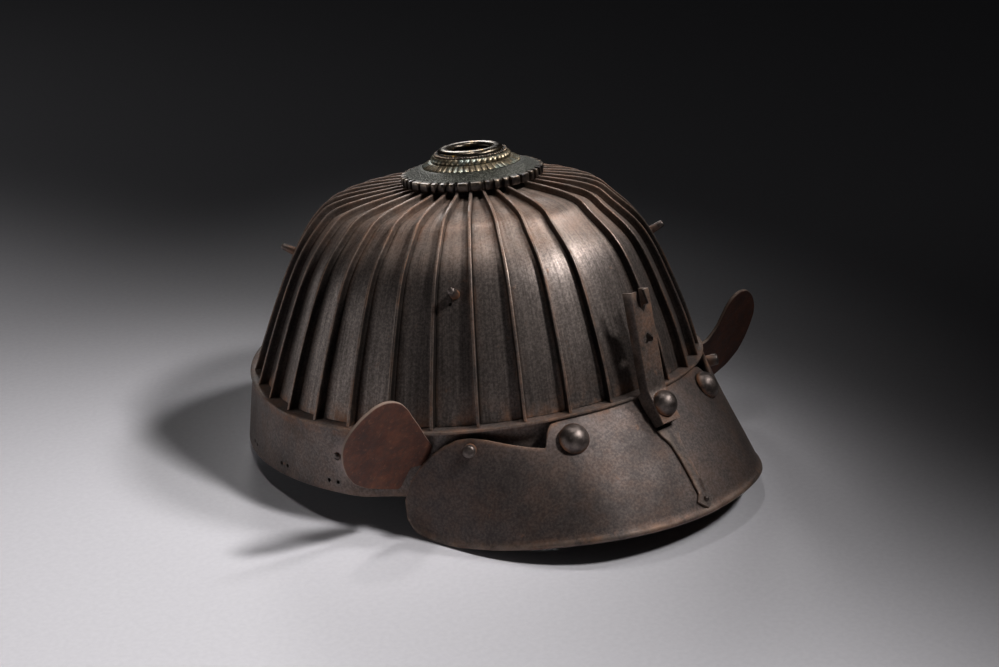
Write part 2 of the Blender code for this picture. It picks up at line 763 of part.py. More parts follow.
def crown_axes():
    """Centre of the crown over the ridges, and the crown's own axes."""
    lean = radians(CROWN_LEAN)
    centre = np.array([0.0, -CROWN_FORWARD, BOWL_HEIGHT + tan(lean) * CROWN_FORWARD])
    axis = np.array([0.0, sin(lean), cos(lean)])
    side = np.array([1.0, 0.0, 0.0])
    ahead = np.cross(side, axis)
    return centre, axis, side, ahead if ahead[1] < 0.0 else -ahead


def crown_ring(name, turns, profile_at, material, pose, smooth_angle=40.0):
    """Ring round the crown's axis whose section can change from one turn to the next."""
    centre, axis, side, ahead = crown_axes()
    sections = []
    for turn in turns:
        way = ahead * cos(radians(turn)) - side * sin(radians(turn))
        sections.append([centre + way * radius + axis * height for radius, height in profile_at(turn)])
    return add_object(name, loft_mesh(name, sections, closed=True), material, pose, smooth_angle)


def build_crown(materials, pose):
    foot = GAP
    blocks = []
    for group in range(BASE_GROUPS):
        centre = 360.0 * group / BASE_GROUPS
        blocks += [(centre + low, centre + high) for low, high in BASE_BLOCKS]
    turns = []
    raised = set()
    for low, high in blocks:
        wide = high - low > BASE_BLOCKS_WIDE
        tops = [low + BLOCK_SLOPE, high - BLOCK_SLOPE] if wide else [(low + high) / 2.0]
        turns += [low - BLOCK_SLOPE] + tops + [high + BLOCK_SLOPE]
        raised.update(tops)

    def base_profile(turn):
        outer = BASE_RADIUS if turn in raised else BASE_RADIUS - BASE_NOTCH_DEPTH
        top = foot + BASE_HEIGHT
        return [(BASE_BORE_RADIUS, foot), (BASE_BORE_RADIUS, top + DISH_RISE),
                (DISH_TOP_RADIUS, top + DISH_RISE), (outer, top), (outer, foot)]

    crown_ring("crown_base", turns, base_profile, materials["crown_dark"], pose, 30.0)

    level = foot + BASE_HEIGHT + DISH_RISE + GAP
    half_turns = [180.0 * i / PETAL_COUNT for i in range(2 * PETAL_COUNT)]

    def petal_profile(turn):
        relief = PETAL_RELIEF if round(turn * PETAL_COUNT / 180.0) % 2 else 0.0
        return [(BASE_BORE_RADIUS, level), (BASE_BORE_RADIUS, level + PETAL_HEIGHT),
                (PETAL_TOP_RADIUS - relief, level + PETAL_HEIGHT), (PETAL_RADIUS - relief, level)]

    crown_ring("crown_petals", half_turns, petal_profile, materials["crown_gilt"], pose, 25.0)

    rope_level = level + PETAL_HEIGHT + GAP
    rope_turns = [180.0 * i / ROPE_COUNT for i in range(2 * ROPE_COUNT)]

    def rope_profile(turn):
        relief = ROPE_RELIEF if round(turn * ROPE_COUNT / 180.0) % 2 else 0.0
        return [(ROPE_BORE_RADIUS, rope_level), (ROPE_BORE_RADIUS, rope_level + ROPE_HEIGHT),
                (ROPE_RADIUS - ROPE_TAPER - relief, rope_level + ROPE_HEIGHT),
                (ROPE_RADIUS - relief, rope_level)]

    crown_ring("crown_rope", rope_turns, rope_profile, materials["crown_gilt"], pose, 25.0)

    collar_level = rope_level + ROPE_HEIGHT + GAP
    even_turns = [360.0 * i / TORUS_STEPS for i in range(TORUS_STEPS)]

    seat_radius = TORUS_CENTRE_RADIUS + TORUS_HALF_WIDTH + GAP
    seat_level = collar_level - COLLAR_SEAT
    foot_radius = ROPE_BORE_RADIUS - GAP

    def collar_profile(turn):
        return [(COLLAR_HOLE_RADIUS, rope_level), (COLLAR_HOLE_RADIUS, seat_level),
                (seat_radius, seat_level), (seat_radius, collar_level + COLLAR_LIP),
                (foot_radius, collar_level + COLLAR_LIP), (COLLAR_RADIUS, collar_level),
                (foot_radius, collar_level), (foot_radius, rope_level)]

    crown_ring("crown_collar", even_turns, collar_profile, materials["crown_dark"], pose)

    ring_level = seat_level + GAP + TORUS_HALF_HEIGHT

    def torus_profile(turn):
        return [(TORUS_CENTRE_RADIUS + a * TORUS_HALF_WIDTH, ring_level + b * TORUS_HALF_HEIGHT)
                for a, b in circle(1.0, 8)]

    crown_ring("crown_torus", even_turns, torus_profile, materials["crown_bronze"], pose, 60.0)


def build_pins(materials, pose, plates):
    ridges = ridge_angles()
    for side, side_name in ((1.0, "right"), (-1.0, "left")):
        for place, (pin_angle, share) in PINS.items():
            depth = ridge_height(share)
            index = max(i for i, ridge in enumerate(ridges) if ridge < radians(pin_angle))
            angle = side * (ridges[index] + ridges[index + 1]) / 2.0
            point, normal, around, up = bowl_frame(angle, share)
            root = point - normal * (depth - GAP)
            radius = PIN_DIAMETER / 2.0
            tip = PIN_TIP_DIAMETER / 2.0
            profile = [(0.0, 0.0), (radius, 0.0), (tip, PIN_LENGTH - PIN_ROUNDING),
                       (tip * 0.6, PIN_LENGTH - 0.1 * PIN_ROUNDING), (0.0, PIN_LENGTH)]
            name = f"pin_{place}_{side_name}"
            mesh = turned_mesh(name, root, normal, profile, PIN_STEPS)
            add_object(name, mesh, materials["rivet_iron"], pose, 45.0)
            rearward = unit(around) * side
            hole = point - up * PIN_HOLE_DROP + rearward * PIN_HOLE_BACK - normal * depth
            cutter = prism_mesh("pin_hole", circle(PIN_HOLE_RADIUS, 6), hole, unit(around), up,
                                (-CUT_REACH, CUT_REACH))
            cut(plates[f"plate_{side_name}_{index + 1:02d}"], cutter, pose)


def build_visor_fittings(materials, pose):
    for side, name in ((1.0, "right"), (-1.0, "left")):
        angle = side * radians(RIVET_ANGLE)
        seat = visor_point(angle, -RIVET_DEPTH, SEAT_GAP)
        mesh = turned_mesh(f"rivet_{name}", seat, visor_normal(angle),
                           dome_profile(RIVET_DIAMETER, RIVET_HEIGHT, 3), RIVET_STEPS)
        add_object(f"rivet_{name}", mesh, materials["rivet_iron"], pose, 50.0)
        peg_angle, peg_depth = PEG_ANGLE, PEG_DEPTH
        if side < 0.0:
            peg_angle, peg_depth = PEG_LEFT_ANGLE, PEG_LEFT_DEPTH
        angle = side * radians(peg_angle)
        seat = visor_point(angle, -peg_depth, SEAT_GAP)
        radius = PEG_DIAMETER / 2.0
        profile = [(0.0, 0.0), (radius, 0.0), (radius, PEG_LENGTH - PEG_ROUNDING),
                   (radius * 0.7, PEG_LENGTH - 0.2 * PEG_ROUNDING), (0.0, PEG_LENGTH)]
        mesh = turned_mesh(f"peg_{name}", seat, visor_normal(angle), profile, PEG_STEPS)
        add_object(f"peg_{name}", mesh, materials["rivet_iron"], pose, 50.0)

    path, down, foot_way = holder_path()
    foot_normal = unit(np.cross(foot_way, [1.0, 0.0, 0.0]))
    foot_normal = foot_normal if foot_normal[2] > 0.0 else -foot_normal
    bend = np.array([0.0, -BOWL_FRONT - HOLDER_BEND[0], HOLDER_BEND[1]])
    seat = bend + (path[-1] - bend) * HOLDER_RIVET_PLACE + foot_normal * GAP
    mesh = turned_mesh("rivet_holder", seat, foot_normal,
                       dome_profile(HOLDER_RIVET_DIAMETER, RIVET_HEIGHT, 3), RIVET_STEPS)
    add_object("rivet_holder", mesh, materials["rivet_iron"], pose, 50.0)

    seat = visor_point(0.0, -TAIL_RIVET_DEPTH, TAIL_THICKNESS + 2.0 * GAP)
    mesh = turned_mesh("tail_rivet", seat, visor_normal(0.0),
                       dome_profile(TAIL_RIVET_DIAMETER, TAIL_RIVET_HEIGHT, 2), SMALL_RIVET_STEPS)
    add_object("tail_rivet", mesh, materials["rivet_iron"], pose, 50.0)


def ear_outline(side, root_reach):
    """Outline of an ear plate with its root tab; the left leaf has its own shape."""
    outline = [(0.0, EAR_ROOT_FOOT - EAR_ROOT_SLANT), (-root_reach, EAR_ROOT_FOOT),
               (-root_reach, EAR_ROOT_HEAD)]
    outline += EAR_OUTLINE if side > 0.0 else EAR_OUTLINE_LEFT
    outline.append(outline.pop(3))
    return outline


def build_ears(materials, pose):
    for side, name in ((1.0, "right"), (-1.0, "left")):
        drop = np.array([0.0, 0.0, EAR_ROOT_DROP])
        height = np.array([0.0, 0.0, EAR_ROOT_HEIGHT])
        top = rim_point(radians(EAR_ROOT_ANGLE_TOP), EAR_OFF_BAND) - drop
        foot = rim_point(radians(EAR_ROOT_ANGLE_FOOT), EAR_OFF_BAND) - drop - height
        up = unit(top - foot)
        out = np.array([-1.0, 0.0, 0.0])
        out = unit(out - up * float(out @ up))
        swing = radians(EAR_SWING)
        out = unit(out * cos(swing) + np.cross(up, out) * sin(swing))
        normal = unit(np.cross(out, up))
        wall_way = rim_normal(radians((EAR_ROOT_ANGLE_TOP + EAR_ROOT_ANGLE_FOOT) / 2.0))
        across = EAR_THICKNESS / 2.0 * abs(float(normal @ wall_way))
        root_reach = (EAR_OFF_BAND - BAND_WALL_FRONT - GAP - across) / float(out @ wall_way)
        mirror = np.array([side, 1.0, 1.0])
        faces = []
        for depth in (-EAR_THICKNESS / 2.0, EAR_THICKNESS / 2.0):
            faces.append([(foot + out * a + up * b + normal * depth) * mirror
                          for a, b in ear_outline(side, root_reach)])
        add_object(f"ear_plate_{name}", loft_mesh(f"ear_plate_{name}", faces),
                   materials["rust_iron"], pose)

        angle = side * radians(EAR_RIVET_ANGLE)
        seat = band_wall_point(angle, -EAR_RIVET_DEPTH, GAP)
        mesh = turned_mesh(f"ear_rivet_{name}", seat, rim_normal(angle),
                           dome_profile(EAR_RIVET_DIAMETER, EAR_RIVET_HEIGHT, 2), SMALL_RIVET_STEPS)
        add_object(f"ear_rivet_{name}", mesh, materials["rivet_iron"], pose, 50.0)


def all_points():
    """Every vertex of every piece, in the helmet's own frame and in metres."""
    return np.array([tuple(vertex.co) for obj in bpy.data.objects if obj.type == "MESH"
                     for vertex in obj.data.vertices])


def settle(pose):
    """Lean the helmet back until its back edge and the visor's edge touch the floor together."""
    points = all_points()
    back = points[points[:, 1] > 0.0]
    front = points[points[:, 1] <= 0.0]

    def lowest(part, lean):
        return float(np.min(-part[:, 1] * sin(lean) + part[:, 2] * cos(lean)))

    low = 0.0
    high = radians(20.0)
    for _ in range(60):
        lean = (low + high) / 2.0
        if lowest(back, lean) > lowest(front, lean):
            low = lean
        else:
            high = lean
    turned = points @ np.array(Matrix.Rotation(-lean, 3, "X")).T
    middle = (turned.min(axis=0) + turned.max(axis=0)) / 2.0
    pose.rotation_euler = (-lean, 0.0, 0.0)
    pose.location = Vector((-middle[0], -middle[1], -turned[:, 2].min()))


def make_materials():
    made = {}
    for name, (colour, roughness, metallic) in MATERIALS.items():
        material = bpy.data.materials.new(name)
        material.use_nodes = True
        shader = material.node_tree.nodes["Principled BSDF"]
        shader.inputs["Base Color"].default_value = (*colour, 1.0)
        shader.inputs["Roughness"].default_value = roughness
        shader.inputs["Metallic"].default_value = metallic
        made[name] = material
    return made


def main():
    for obj in list(bpy.data.objects):
        bpy.data.objects.remove(obj, do_unlink=True)
    materials = make_materials()
    pose = bpy.data.objects.new("helmet_pose", None)
    bpy.context.scene.collection.objects.link(pose)
    plates = build_plates(materials, pose)
    build_band(materials, pose)
    build_visor(materials, pose)
    build_crown(materials, pose)
    build_pins(materials, pose, plates)
    build_holder(materials, pose)
    build_tail(materials, pose)
    build_visor_fittings(materials, pose)
    build_ears(materials, pose)
    settle(pose)
    bpy.context.view_layer.update()


main()
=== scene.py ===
# Looks of the ridged iron helmet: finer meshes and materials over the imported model.
# H is the helmet's own frame in millimetres: its origin is the centre of the bowl's rim, -Y the front.
# Angles round the helmet are in radians from the front, positive towards -X.

from math import atan2, cos, pi, radians, sin, tan

import bmesh
import bpy
import numpy as np
from mathutils import Matrix, Vector
from numpy.linalg import norm


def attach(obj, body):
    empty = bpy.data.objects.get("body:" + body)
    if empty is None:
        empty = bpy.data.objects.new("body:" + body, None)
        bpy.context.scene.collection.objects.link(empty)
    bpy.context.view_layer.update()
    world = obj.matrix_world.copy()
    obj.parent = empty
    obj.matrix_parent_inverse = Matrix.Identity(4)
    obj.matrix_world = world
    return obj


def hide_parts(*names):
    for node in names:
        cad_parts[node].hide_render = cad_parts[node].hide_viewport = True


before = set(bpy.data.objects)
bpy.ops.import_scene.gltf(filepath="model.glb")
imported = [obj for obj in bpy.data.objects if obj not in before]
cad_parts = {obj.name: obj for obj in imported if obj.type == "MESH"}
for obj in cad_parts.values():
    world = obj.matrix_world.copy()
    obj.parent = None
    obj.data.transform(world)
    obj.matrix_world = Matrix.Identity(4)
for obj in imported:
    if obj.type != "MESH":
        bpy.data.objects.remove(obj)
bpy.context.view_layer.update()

MM = 0.001
PLACE = Vector((-1.9166, 19.7352, 42.5208)) * MM  # the rim's centre in the row's frame
LEAN = radians(-5.546535)
POSE = Matrix.Translation(PLACE) @ Matrix.Rotation(LEAN, 4, "X")

# Shape values, the same as in the model
GAP = 0.3
SEAT_GAP = 0.6
BOWL_HALF_WIDTH = 100
BOWL_FRONT = 107.8
BOWL_BACK = 108
BOWL_HEIGHT = 83
CROWN_RADIUS = 28.6
CROWN_FORWARD = 9.35
CROWN_LEAN = radians(1.94)
RIM_WAVE = 2.5
PLATE_COUNT = 32
FRONT_PLATE_WIDTH = 34.7
PLATE_THICKNESS = 1.8
RIDGE_HEIGHT = 4.2
RIDGE_HEIGHT_AT_CROWN = 2.8
RIDGE_THICKNESS = 1.3
PLATE_GAP = 0.06  # the seam that shows between two plates
PLATE_ROWS = 44
PLATE_FOOT_SHARE = 0.12
MERIDIAN = [
    # height  reach   front   corner
    (0, 1, 0, -0.04),
    (0.203, 0.917, 0.023, -0.022),
    (0.406, 0.822, 0.032, -0.006),
    (0.609, 0.717, 0.033, 0.005),
    (0.761, 0.607, 0.014, 0.012),
    (0.883, 0.468, -0.011, 0.03),
    (0.962, 0.258, 0.003, 0.03),
    (1, 0, 0, 0),
]
BAND_HEIGHT = 32
BAND_FRONT_HEIGHT = 20
BAND_THICKNESS = 1.8
BAND_LIP_REACH = 2
BAND_LIP_REACH_FRONT = 1.2
BAND_LIP_THICKNESS = 1.3
BAND_SHELF = 7
BAND_WALL_BACK = 1
BAND_WALL_FRONT = -3
BAND_FOOT_OUT = 2.4
DRILL_REACH = 6
LACING_HOLE_RADIUS = 0.9
LACING_HOLE_SPACING = 5
LACING_HOLE_RISE = 5
LACING_ANGLES = [80, 97.5, 115.5]
PATCH = (radians(75), -16, 8.5)  # of scaly iron on the band: angle, height, radius
VISOR_THICKNESS = 1.7
VISOR_OUT = 0.5
VISOR_BULGE = 2.3
VISOR_LIP = 0.6
VISOR_LIP_HEIGHT = 1.8
VISOR = [
    # angle  slope  lower  upper
    (0, 37.5, 44.2, 0),
    (7, 38, 43.7, 0),
    (14, 37.8, 43.3, 0),
    (20, 36.5, 43.3, 0),
    (24.5, 33.6, 44, 0),
    (27, 31.6, 44.5, 0.6),
    (28.2, 30.6, 44.8, 3.2),
    (28.9, 30, 44.9, 8.6),
    (33, 26, 46, 7.2),
    (37.5, 21.4, 47.1, 5.2),
    (42, 16.6, 48.1, 2.9),
    (45.5, 12.9, 48.6, 1.9),
    (48.5, 9.8, 49, 2.3),
    (51.5, 6.8, 49.1, 4.6),
    (54.5, 4, 48.8, 8.4),
    (57.5, 1.4, 47.8, 13.8),
    (60, -0.5, 45.6, 20.6),
    (62, -2, 41.2, 29.5),
]
RIVET_ANGLE = radians(22.6)
RIVET_DEPTH = 7
RIVET_DIAMETER = 13
RIVET_HEIGHT = 5
PEGS = {"right": (radians(45.5), 8), "left": (-radians(50), 13)}  # angle, depth
PEG_DIAMETER = 5.4
PEG_LENGTH = 6.5
PINS = {"front": (radians(49.1), 0.624), "back": (radians(135), 0.654)}
PIN_DIAMETER = 4.2
PIN_TIP_DIAMETER = 3
PIN_LENGTH = 9.2
PIN_HOLE_RADIUS = 0.8
PIN_HOLE_DROP = 4
PIN_HOLE_BACK = 2.2
HOLDER_WIDTH = 11
HOLDER_THICKNESS = 1.3
HOLDER_DEPTH = 5.4
HOLDER_FOOT_DEPTH = 7.4
HOLDER_TOP = (0.2, 47)  # reach in front of the rim, height above it
HOLDER_BEND = (7.4, 5.4)
HOLDER_FOOT = (15.2, -7.2)
HOLDER_BEND_RADIUS = 7
HOLDER_RIVET_PLACE = 0.47
HOLDER_RIVET_DIAMETER = 11.4
TOP_CUT_DEPTH = 9
TOP_CUT_MOUTH = 4.2
TOP_CUT_WIDTH = 7.4
TOP_CUT_WIDEST = 6.2
HEART_WIDTH = 5.6
HEART_HEIGHT = 4.4
HEART_DROP = 18
TAIL_THICKNESS = 1
TAIL = [
    (11.6, 5.6), (14, 4.7), (16.5, 3.2), (19.5, 2.6), (25, 2.3), (31, 2.1), (36.2, 1.9),
    (37.6, 3), (38.8, 4), (40.6, 2.2), (42.1, 0.5),
]
TAIL_RIVET_DEPTH = 38.9
BASE_RADIUS = 31.8
BASE_HEIGHT = 3.8
BASE_NOTCH_DEPTH = 1.6
DISH_RISE = 2.8
DISH_TOP_RADIUS = 22.8
BASE_GROUPS = 8
BASE_BLOCKS = [(-9.6, -0.9), (0.9, 9.6), (12.6, 16.4), (20.6, 24.4), (28.6, 32.4)]
BASE_BORE_RADIUS = 11.8
ROPE_BORE_RADIUS = 15.7
PETAL_COUNT = 48
PETAL_RADIUS = 22.4
PETAL_TOP_RADIUS = 19.2
PETAL_HEIGHT = 1.8
ROPE_COUNT = 40
ROPE_RADIUS = 18.6
ROPE_HEIGHT = 2.2
COLLAR_RADIUS = 16
COLLAR_HOLE_RADIUS = 9.8
COLLAR_LIP = 0.7
COLLAR_SEAT = 1
BEAD_COUNT = 76
BEAD_RADIUS = 0.52
TORUS_HALF_WIDTH = 2.8
TORUS_HALF_HEIGHT = 1.7
TORUS_CENTRE_RADIUS = 11.9
EAR_THICKNESS = 1.6
EAR_ROOT_ANGLE_TOP = radians(55.2)
EAR_ROOT_ANGLE_FOOT = radians(62.3)
EAR_ROOT_DROP = 1.1
EAR_ROOT_HEIGHT = 24.7
EAR_OFF_BAND = 4
EAR_SWING = radians(-5)
EAR_ROOT_FOOT = 13
EAR_ROOT_HEAD = 22.5
EAR_ROOT_SLANT = 1
EAR_OUTLINE = [  # reach, height
    (0, 0.6), (0, 28.1), (6.2, 33.6), (12.5, 38.5), (17, 42.4), (22, 45.3), (27, 46.7),
    (32, 46.2), (36, 43.8), (40.2, 38.2), (42.7, 32.6), (43.4, 27.2), (42.2, 21.8), (38.6, 15.5),
    (33.8, 9.8), (27.3, 5), (19.5, 2.5), (10, 1.4),
]
EAR_OUTLINE_LEFT = [
    (0, 0.6), (0, 21.5), (3, 17.5), (8, 17), (14.3, 22), (19, 31.5), (22.3, 35.4),
    (27.3, 36.7), (32.5, 34.6), (36.5, 30.6), (40.2, 24.6), (42.5, 18.6), (43.4, 12.3),
    (42.2, 5.575), (39.6, -2.2), (35.6, -8.4), (28, -12.8), (18.3, -14), (9, -10),
]
EAR_RIVET_ANGLE = radians(78.4)
EAR_RIVET_DEPTH = 15.4

UP = np.array([0, 0, 1])
SIDES = ((1, "right"), (-1, "left"))


def unit(vector):
    vector = np.asarray(vector, float)
    return vector / norm(vector, axis=-1, keepdims=True)


def smooth(value, low, high):
    share = np.clip((np.asarray(value, float) - low) / (high - low), 0, 1)
    return share * share * (3 - 2 * share)


def blend(low, high, share):
    return low + (high - low) * share


def away(angle):
    return np.abs(np.degrees(np.arctan2(np.sin(angle), np.cos(angle))))


def spline(table, column):
    """A smooth curve of one column over the first, straight at both ends."""
    xs = np.array([row[0] for row in table], float)
    ys = np.array([row[column] for row in table], float)
    count = len(xs)
    steps = np.diff(xs)
    matrix = np.eye(count)
    right = np.zeros(count)
    for i in range(1, count - 1):
        matrix[i, i - 1:i + 2] = steps[i - 1], 2 * (steps[i - 1] + steps[i]), steps[i]
        right[i] = 6 * ((ys[i + 1] - ys[i]) / steps[i] - (ys[i] - ys[i - 1]) / steps[i - 1])
    bend = np.linalg.solve(matrix, right)

    def value(x):
        i = np.clip(np.searchsorted(xs, x) - 1, 0, count - 2)
        step = steps[i]
        a = (xs[i + 1] - x) / step
        b = (x - xs[i]) / step
        curve = (a ** 3 - a) * bend[i] + (b ** 3 - b) * bend[i + 1]
        return a * ys[i] + b * ys[i + 1] + curve * step * step / 6

    return value


REACH, FULLER, CORNER = [spline(MERIDIAN, column) for column in (1, 2, 3)]
MIRRORED = [(-row[0],) + row[1:] for row in reversed(VISOR[1:])] + VISOR
VISOR_SLOPE, VISOR_LOWER = [spline(MIRRORED, column) for column in (1, 2)]


def stack(x, y, z):
    return np.stack(np.broadcast_arrays(x, y, z), axis=-1).astype(float)


def half_length(angle):
    return np.where(np.cos(angle) > 0, BOWL_FRONT, BOWL_BACK)


def rim_normal(angle):
    return unit(stack(-np.sin(angle) / BOWL_HALF_WIDTH, -np.cos(angle) / half_length(angle), 0))


def rim_point(angle, out=0):
    point = stack(-BOWL_HALF_WIDTH * np.sin(angle), -half_length(angle) * np.cos(angle), 0)
    return point + rim_normal(angle) * np.asarray(out, float)[..., None]


def rim_height(angle):
    return RIM_WAVE * np.cos(2 * angle)


def bowl_point(angle, share):
    """Point on the surface over the ridges; share runs from 0 at the rim to 1 at the crown."""
    corner = smooth(away(angle), 75, 125)
    reach = REACH(share) + FULLER(share) * np.cos(angle) + CORNER(share) * corner
    x = -np.sin(angle) * (BOWL_HALF_WIDTH * reach + CROWN_RADIUS * (1 - reach))
    y = -np.cos(angle) * (half_length(angle) * reach + CROWN_RADIUS * (1 - reach))
    y = y - CROWN_FORWARD * (1 - reach)
    z = share * BOWL_HEIGHT + RIM_WAVE * (1 - share) * np.cos(2 * angle)
    return stack(x, y, z - tan(CROWN_LEAN) * y * share)


def bowl_frame(angle, share):
    """Point, outward normal, direction round the bowl per radian and direction up the meridian."""
    small = 0.001
    around = (bowl_point(angle + small, share) - bowl_point(angle - small, share)) / (2 * small)
    low = np.maximum(share - small, 0)
    high = np.minimum(share + small, 1)
    up = unit(bowl_point(angle, high) - bowl_point(angle, low))
    return bowl_point(angle, share), unit(np.cross(up, around)), around, up


def lengths_along(points):
    return np.concatenate([[0], np.cumsum(norm(np.diff(points, axis=0), axis=1))])


def ridge_angles():
    """Angles of the ridges on one side: the first edges the front plate, the rest share the rim."""
    samples = np.linspace(0, pi, 2881)
    lengths = lengths_along(bowl_point(samples, np.zeros_like(samples)))
    first = FRONT_PLATE_WIDTH / 2
    width = 2 * (lengths[-1] - first) / (PLATE_COUNT - 1)
    marks = [first + width * i for i in range(PLATE_COUNT // 2)]
    return [float(np.interp(mark, lengths, samples)) for mark in marks]


def ridge_height(share):
    return blend(RIDGE_HEIGHT, RIDGE_HEIGHT_AT_CROWN, share)


# Meshes

def add_object(name, data):
    obj = bpy.data.objects.new(name, data)
    bpy.context.scene.collection.objects.link(obj)
    return obj


def solid(name, points, faces, values=None):
    """An object from points in H; values maps an attribute's name to one number, or three, for each."""
    mesh = bpy.data.meshes.new(name)
    mesh.from_pydata((np.asarray(points, float) * MM).tolist(), [], faces)
    for key, data in (values or {}).items():
        data = np.asarray(data, float)
        kind = "FLOAT_VECTOR" if data.ndim == 2 else "FLOAT"
        layer = mesh.attributes.new(key, kind, "POINT")
        layer.data.foreach_set("vector" if data.ndim == 2 else "value", data.ravel())
    work = bmesh.new()
    work.from_mesh(mesh)
    bmesh.ops.recalc_face_normals(work, faces=work.faces)
    work.to_mesh(mesh)
    work.free()
    mesh.transform(POSE)
    return add_object(name, mesh)


LOOKS = {}  # materials by name


def put(node, slot, mesh, values=None, sharp=None, look=None):
    """A piece in its CAD node's place, named after node and slot; the look is the slot's or another."""
    ending = slot.split("_")[1].replace("dark", "iron")
    obj = solid(f"{node}_{ending}", *mesh, values)
    obj.data.shade_smooth()
    if sharp:
        obj.data.set_sharp_from_angle(angle=radians(sharp))
    obj.data.materials.append(LOOKS[look or slot])
    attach(obj, "root")
    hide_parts(node)
    return obj


def skin(rows, closed=False):
    """Points and faces of a grid of closed sections; rows has the shape (rows, points, 3)."""
    rows = np.asarray(rows, float)
    count, width = rows.shape[:2]
    faces = []
    for i in range(count if closed else count - 1):
        here = i * width
        there = ((i + 1) % count) * width
        for j in range(width):
            k = (j + 1) % width
            faces.append((here + j, here + k, there + k, there + j))
    if not closed:
        last = (count - 1) * width
        faces.append(tuple(range(width)))
        faces.append(tuple(last + j for j in reversed(range(width))))
    return rows.reshape(-1, 3), faces


def turned(origin, axis, profile, steps):
    """Points and faces of a profile of (radius, height) turned round an axis."""
    axis = unit(axis)
    side = unit(np.cross(axis, [0, 0, 1] if abs(axis[2]) < 0.9 else [1, 0, 0]))
    other = np.cross(axis, side)
    points = []
    rings = []
    for radius, height in profile:
        centre = origin + axis * height
        if radius == 0:
            rings.append([len(points)] * steps)
            points.append(centre)
            continue
        rings.append(list(range(len(points), len(points) + steps)))
        for i in range(steps):
            turn = 2 * pi * i / steps
            points.append(centre + radius * (side * cos(turn) + other * sin(turn)))
    faces = []
    for low, high in zip(rings, rings[1:]):
        for i in range(steps):
            k = (i + 1) % steps
            faces.append(tuple(dict.fromkeys((low[i], low[k], high[k], high[i]))))
    return np.array(points), faces


def join(parts):
    """One mesh from several lists of points and faces."""
    points = []
    faces = []
    for part_points, part_faces in parts:
        shift = sum(len(done) for done in points)
        points.append(np.asarray(part_points, float))
        faces += [tuple(shift + i for i in face) for face in part_faces]
    return np.concatenate(points), faces


def bore(obj, cutters):
    """Cuts through a piece with closed meshes given in H."""
    cutter = solid("cutter", *join(cutters))
    modifier = obj.modifiers.new("cut", "BOOLEAN")
    modifier.operation = "DIFFERENCE"
    modifier.solver = "EXACT"
    modifier.object = cutter
    bpy.context.view_layer.update()
    evaluated = obj.evaluated_get(bpy.context.evaluated_depsgraph_get())
    result = bpy.data.meshes.new_from_object(evaluated)
    obj.modifiers.clear()
    obj.data = result
    bpy.data.objects.remove(cutter, do_unlink=True)


def drill(origin, axis, radius):
    """The cutter of a small round hole."""
    return turned(origin, axis, [(0, -DRILL_REACH), (radius, -DRILL_REACH), (radius, DRILL_REACH),
                                 (0, DRILL_REACH)], 16)


def prism(outline, origin, side, up, depth):
    normal = unit(np.cross(side, up))
    rows = [[origin + side * a + up * b + normal * d for a, b in outline] for d in depth]
    return skin(rows)


def arc_point(start, corner, end, share):
    return start * (1 - share) ** 2 + corner * 2 * share * (1 - share) + end * share ** 2


def rounded(outline, radius, steps=3):
    """The outline with its corners rounded."""
    outline = [np.array(point, float) for point in outline]
    result = []
    for i, point in enumerate(outline):
        before = outline[i - 1] - point
        after = outline[(i + 1) % len(outline)] - point
        reach = min(radius, 0.45 * norm(before), 0.45 * norm(after))
        start = point + unit(before) * reach
        end = point + unit(after) * reach
        for j in range(steps + 1):
            result.append(arc_point(start, point, end, j / steps))
    return result


# Materials

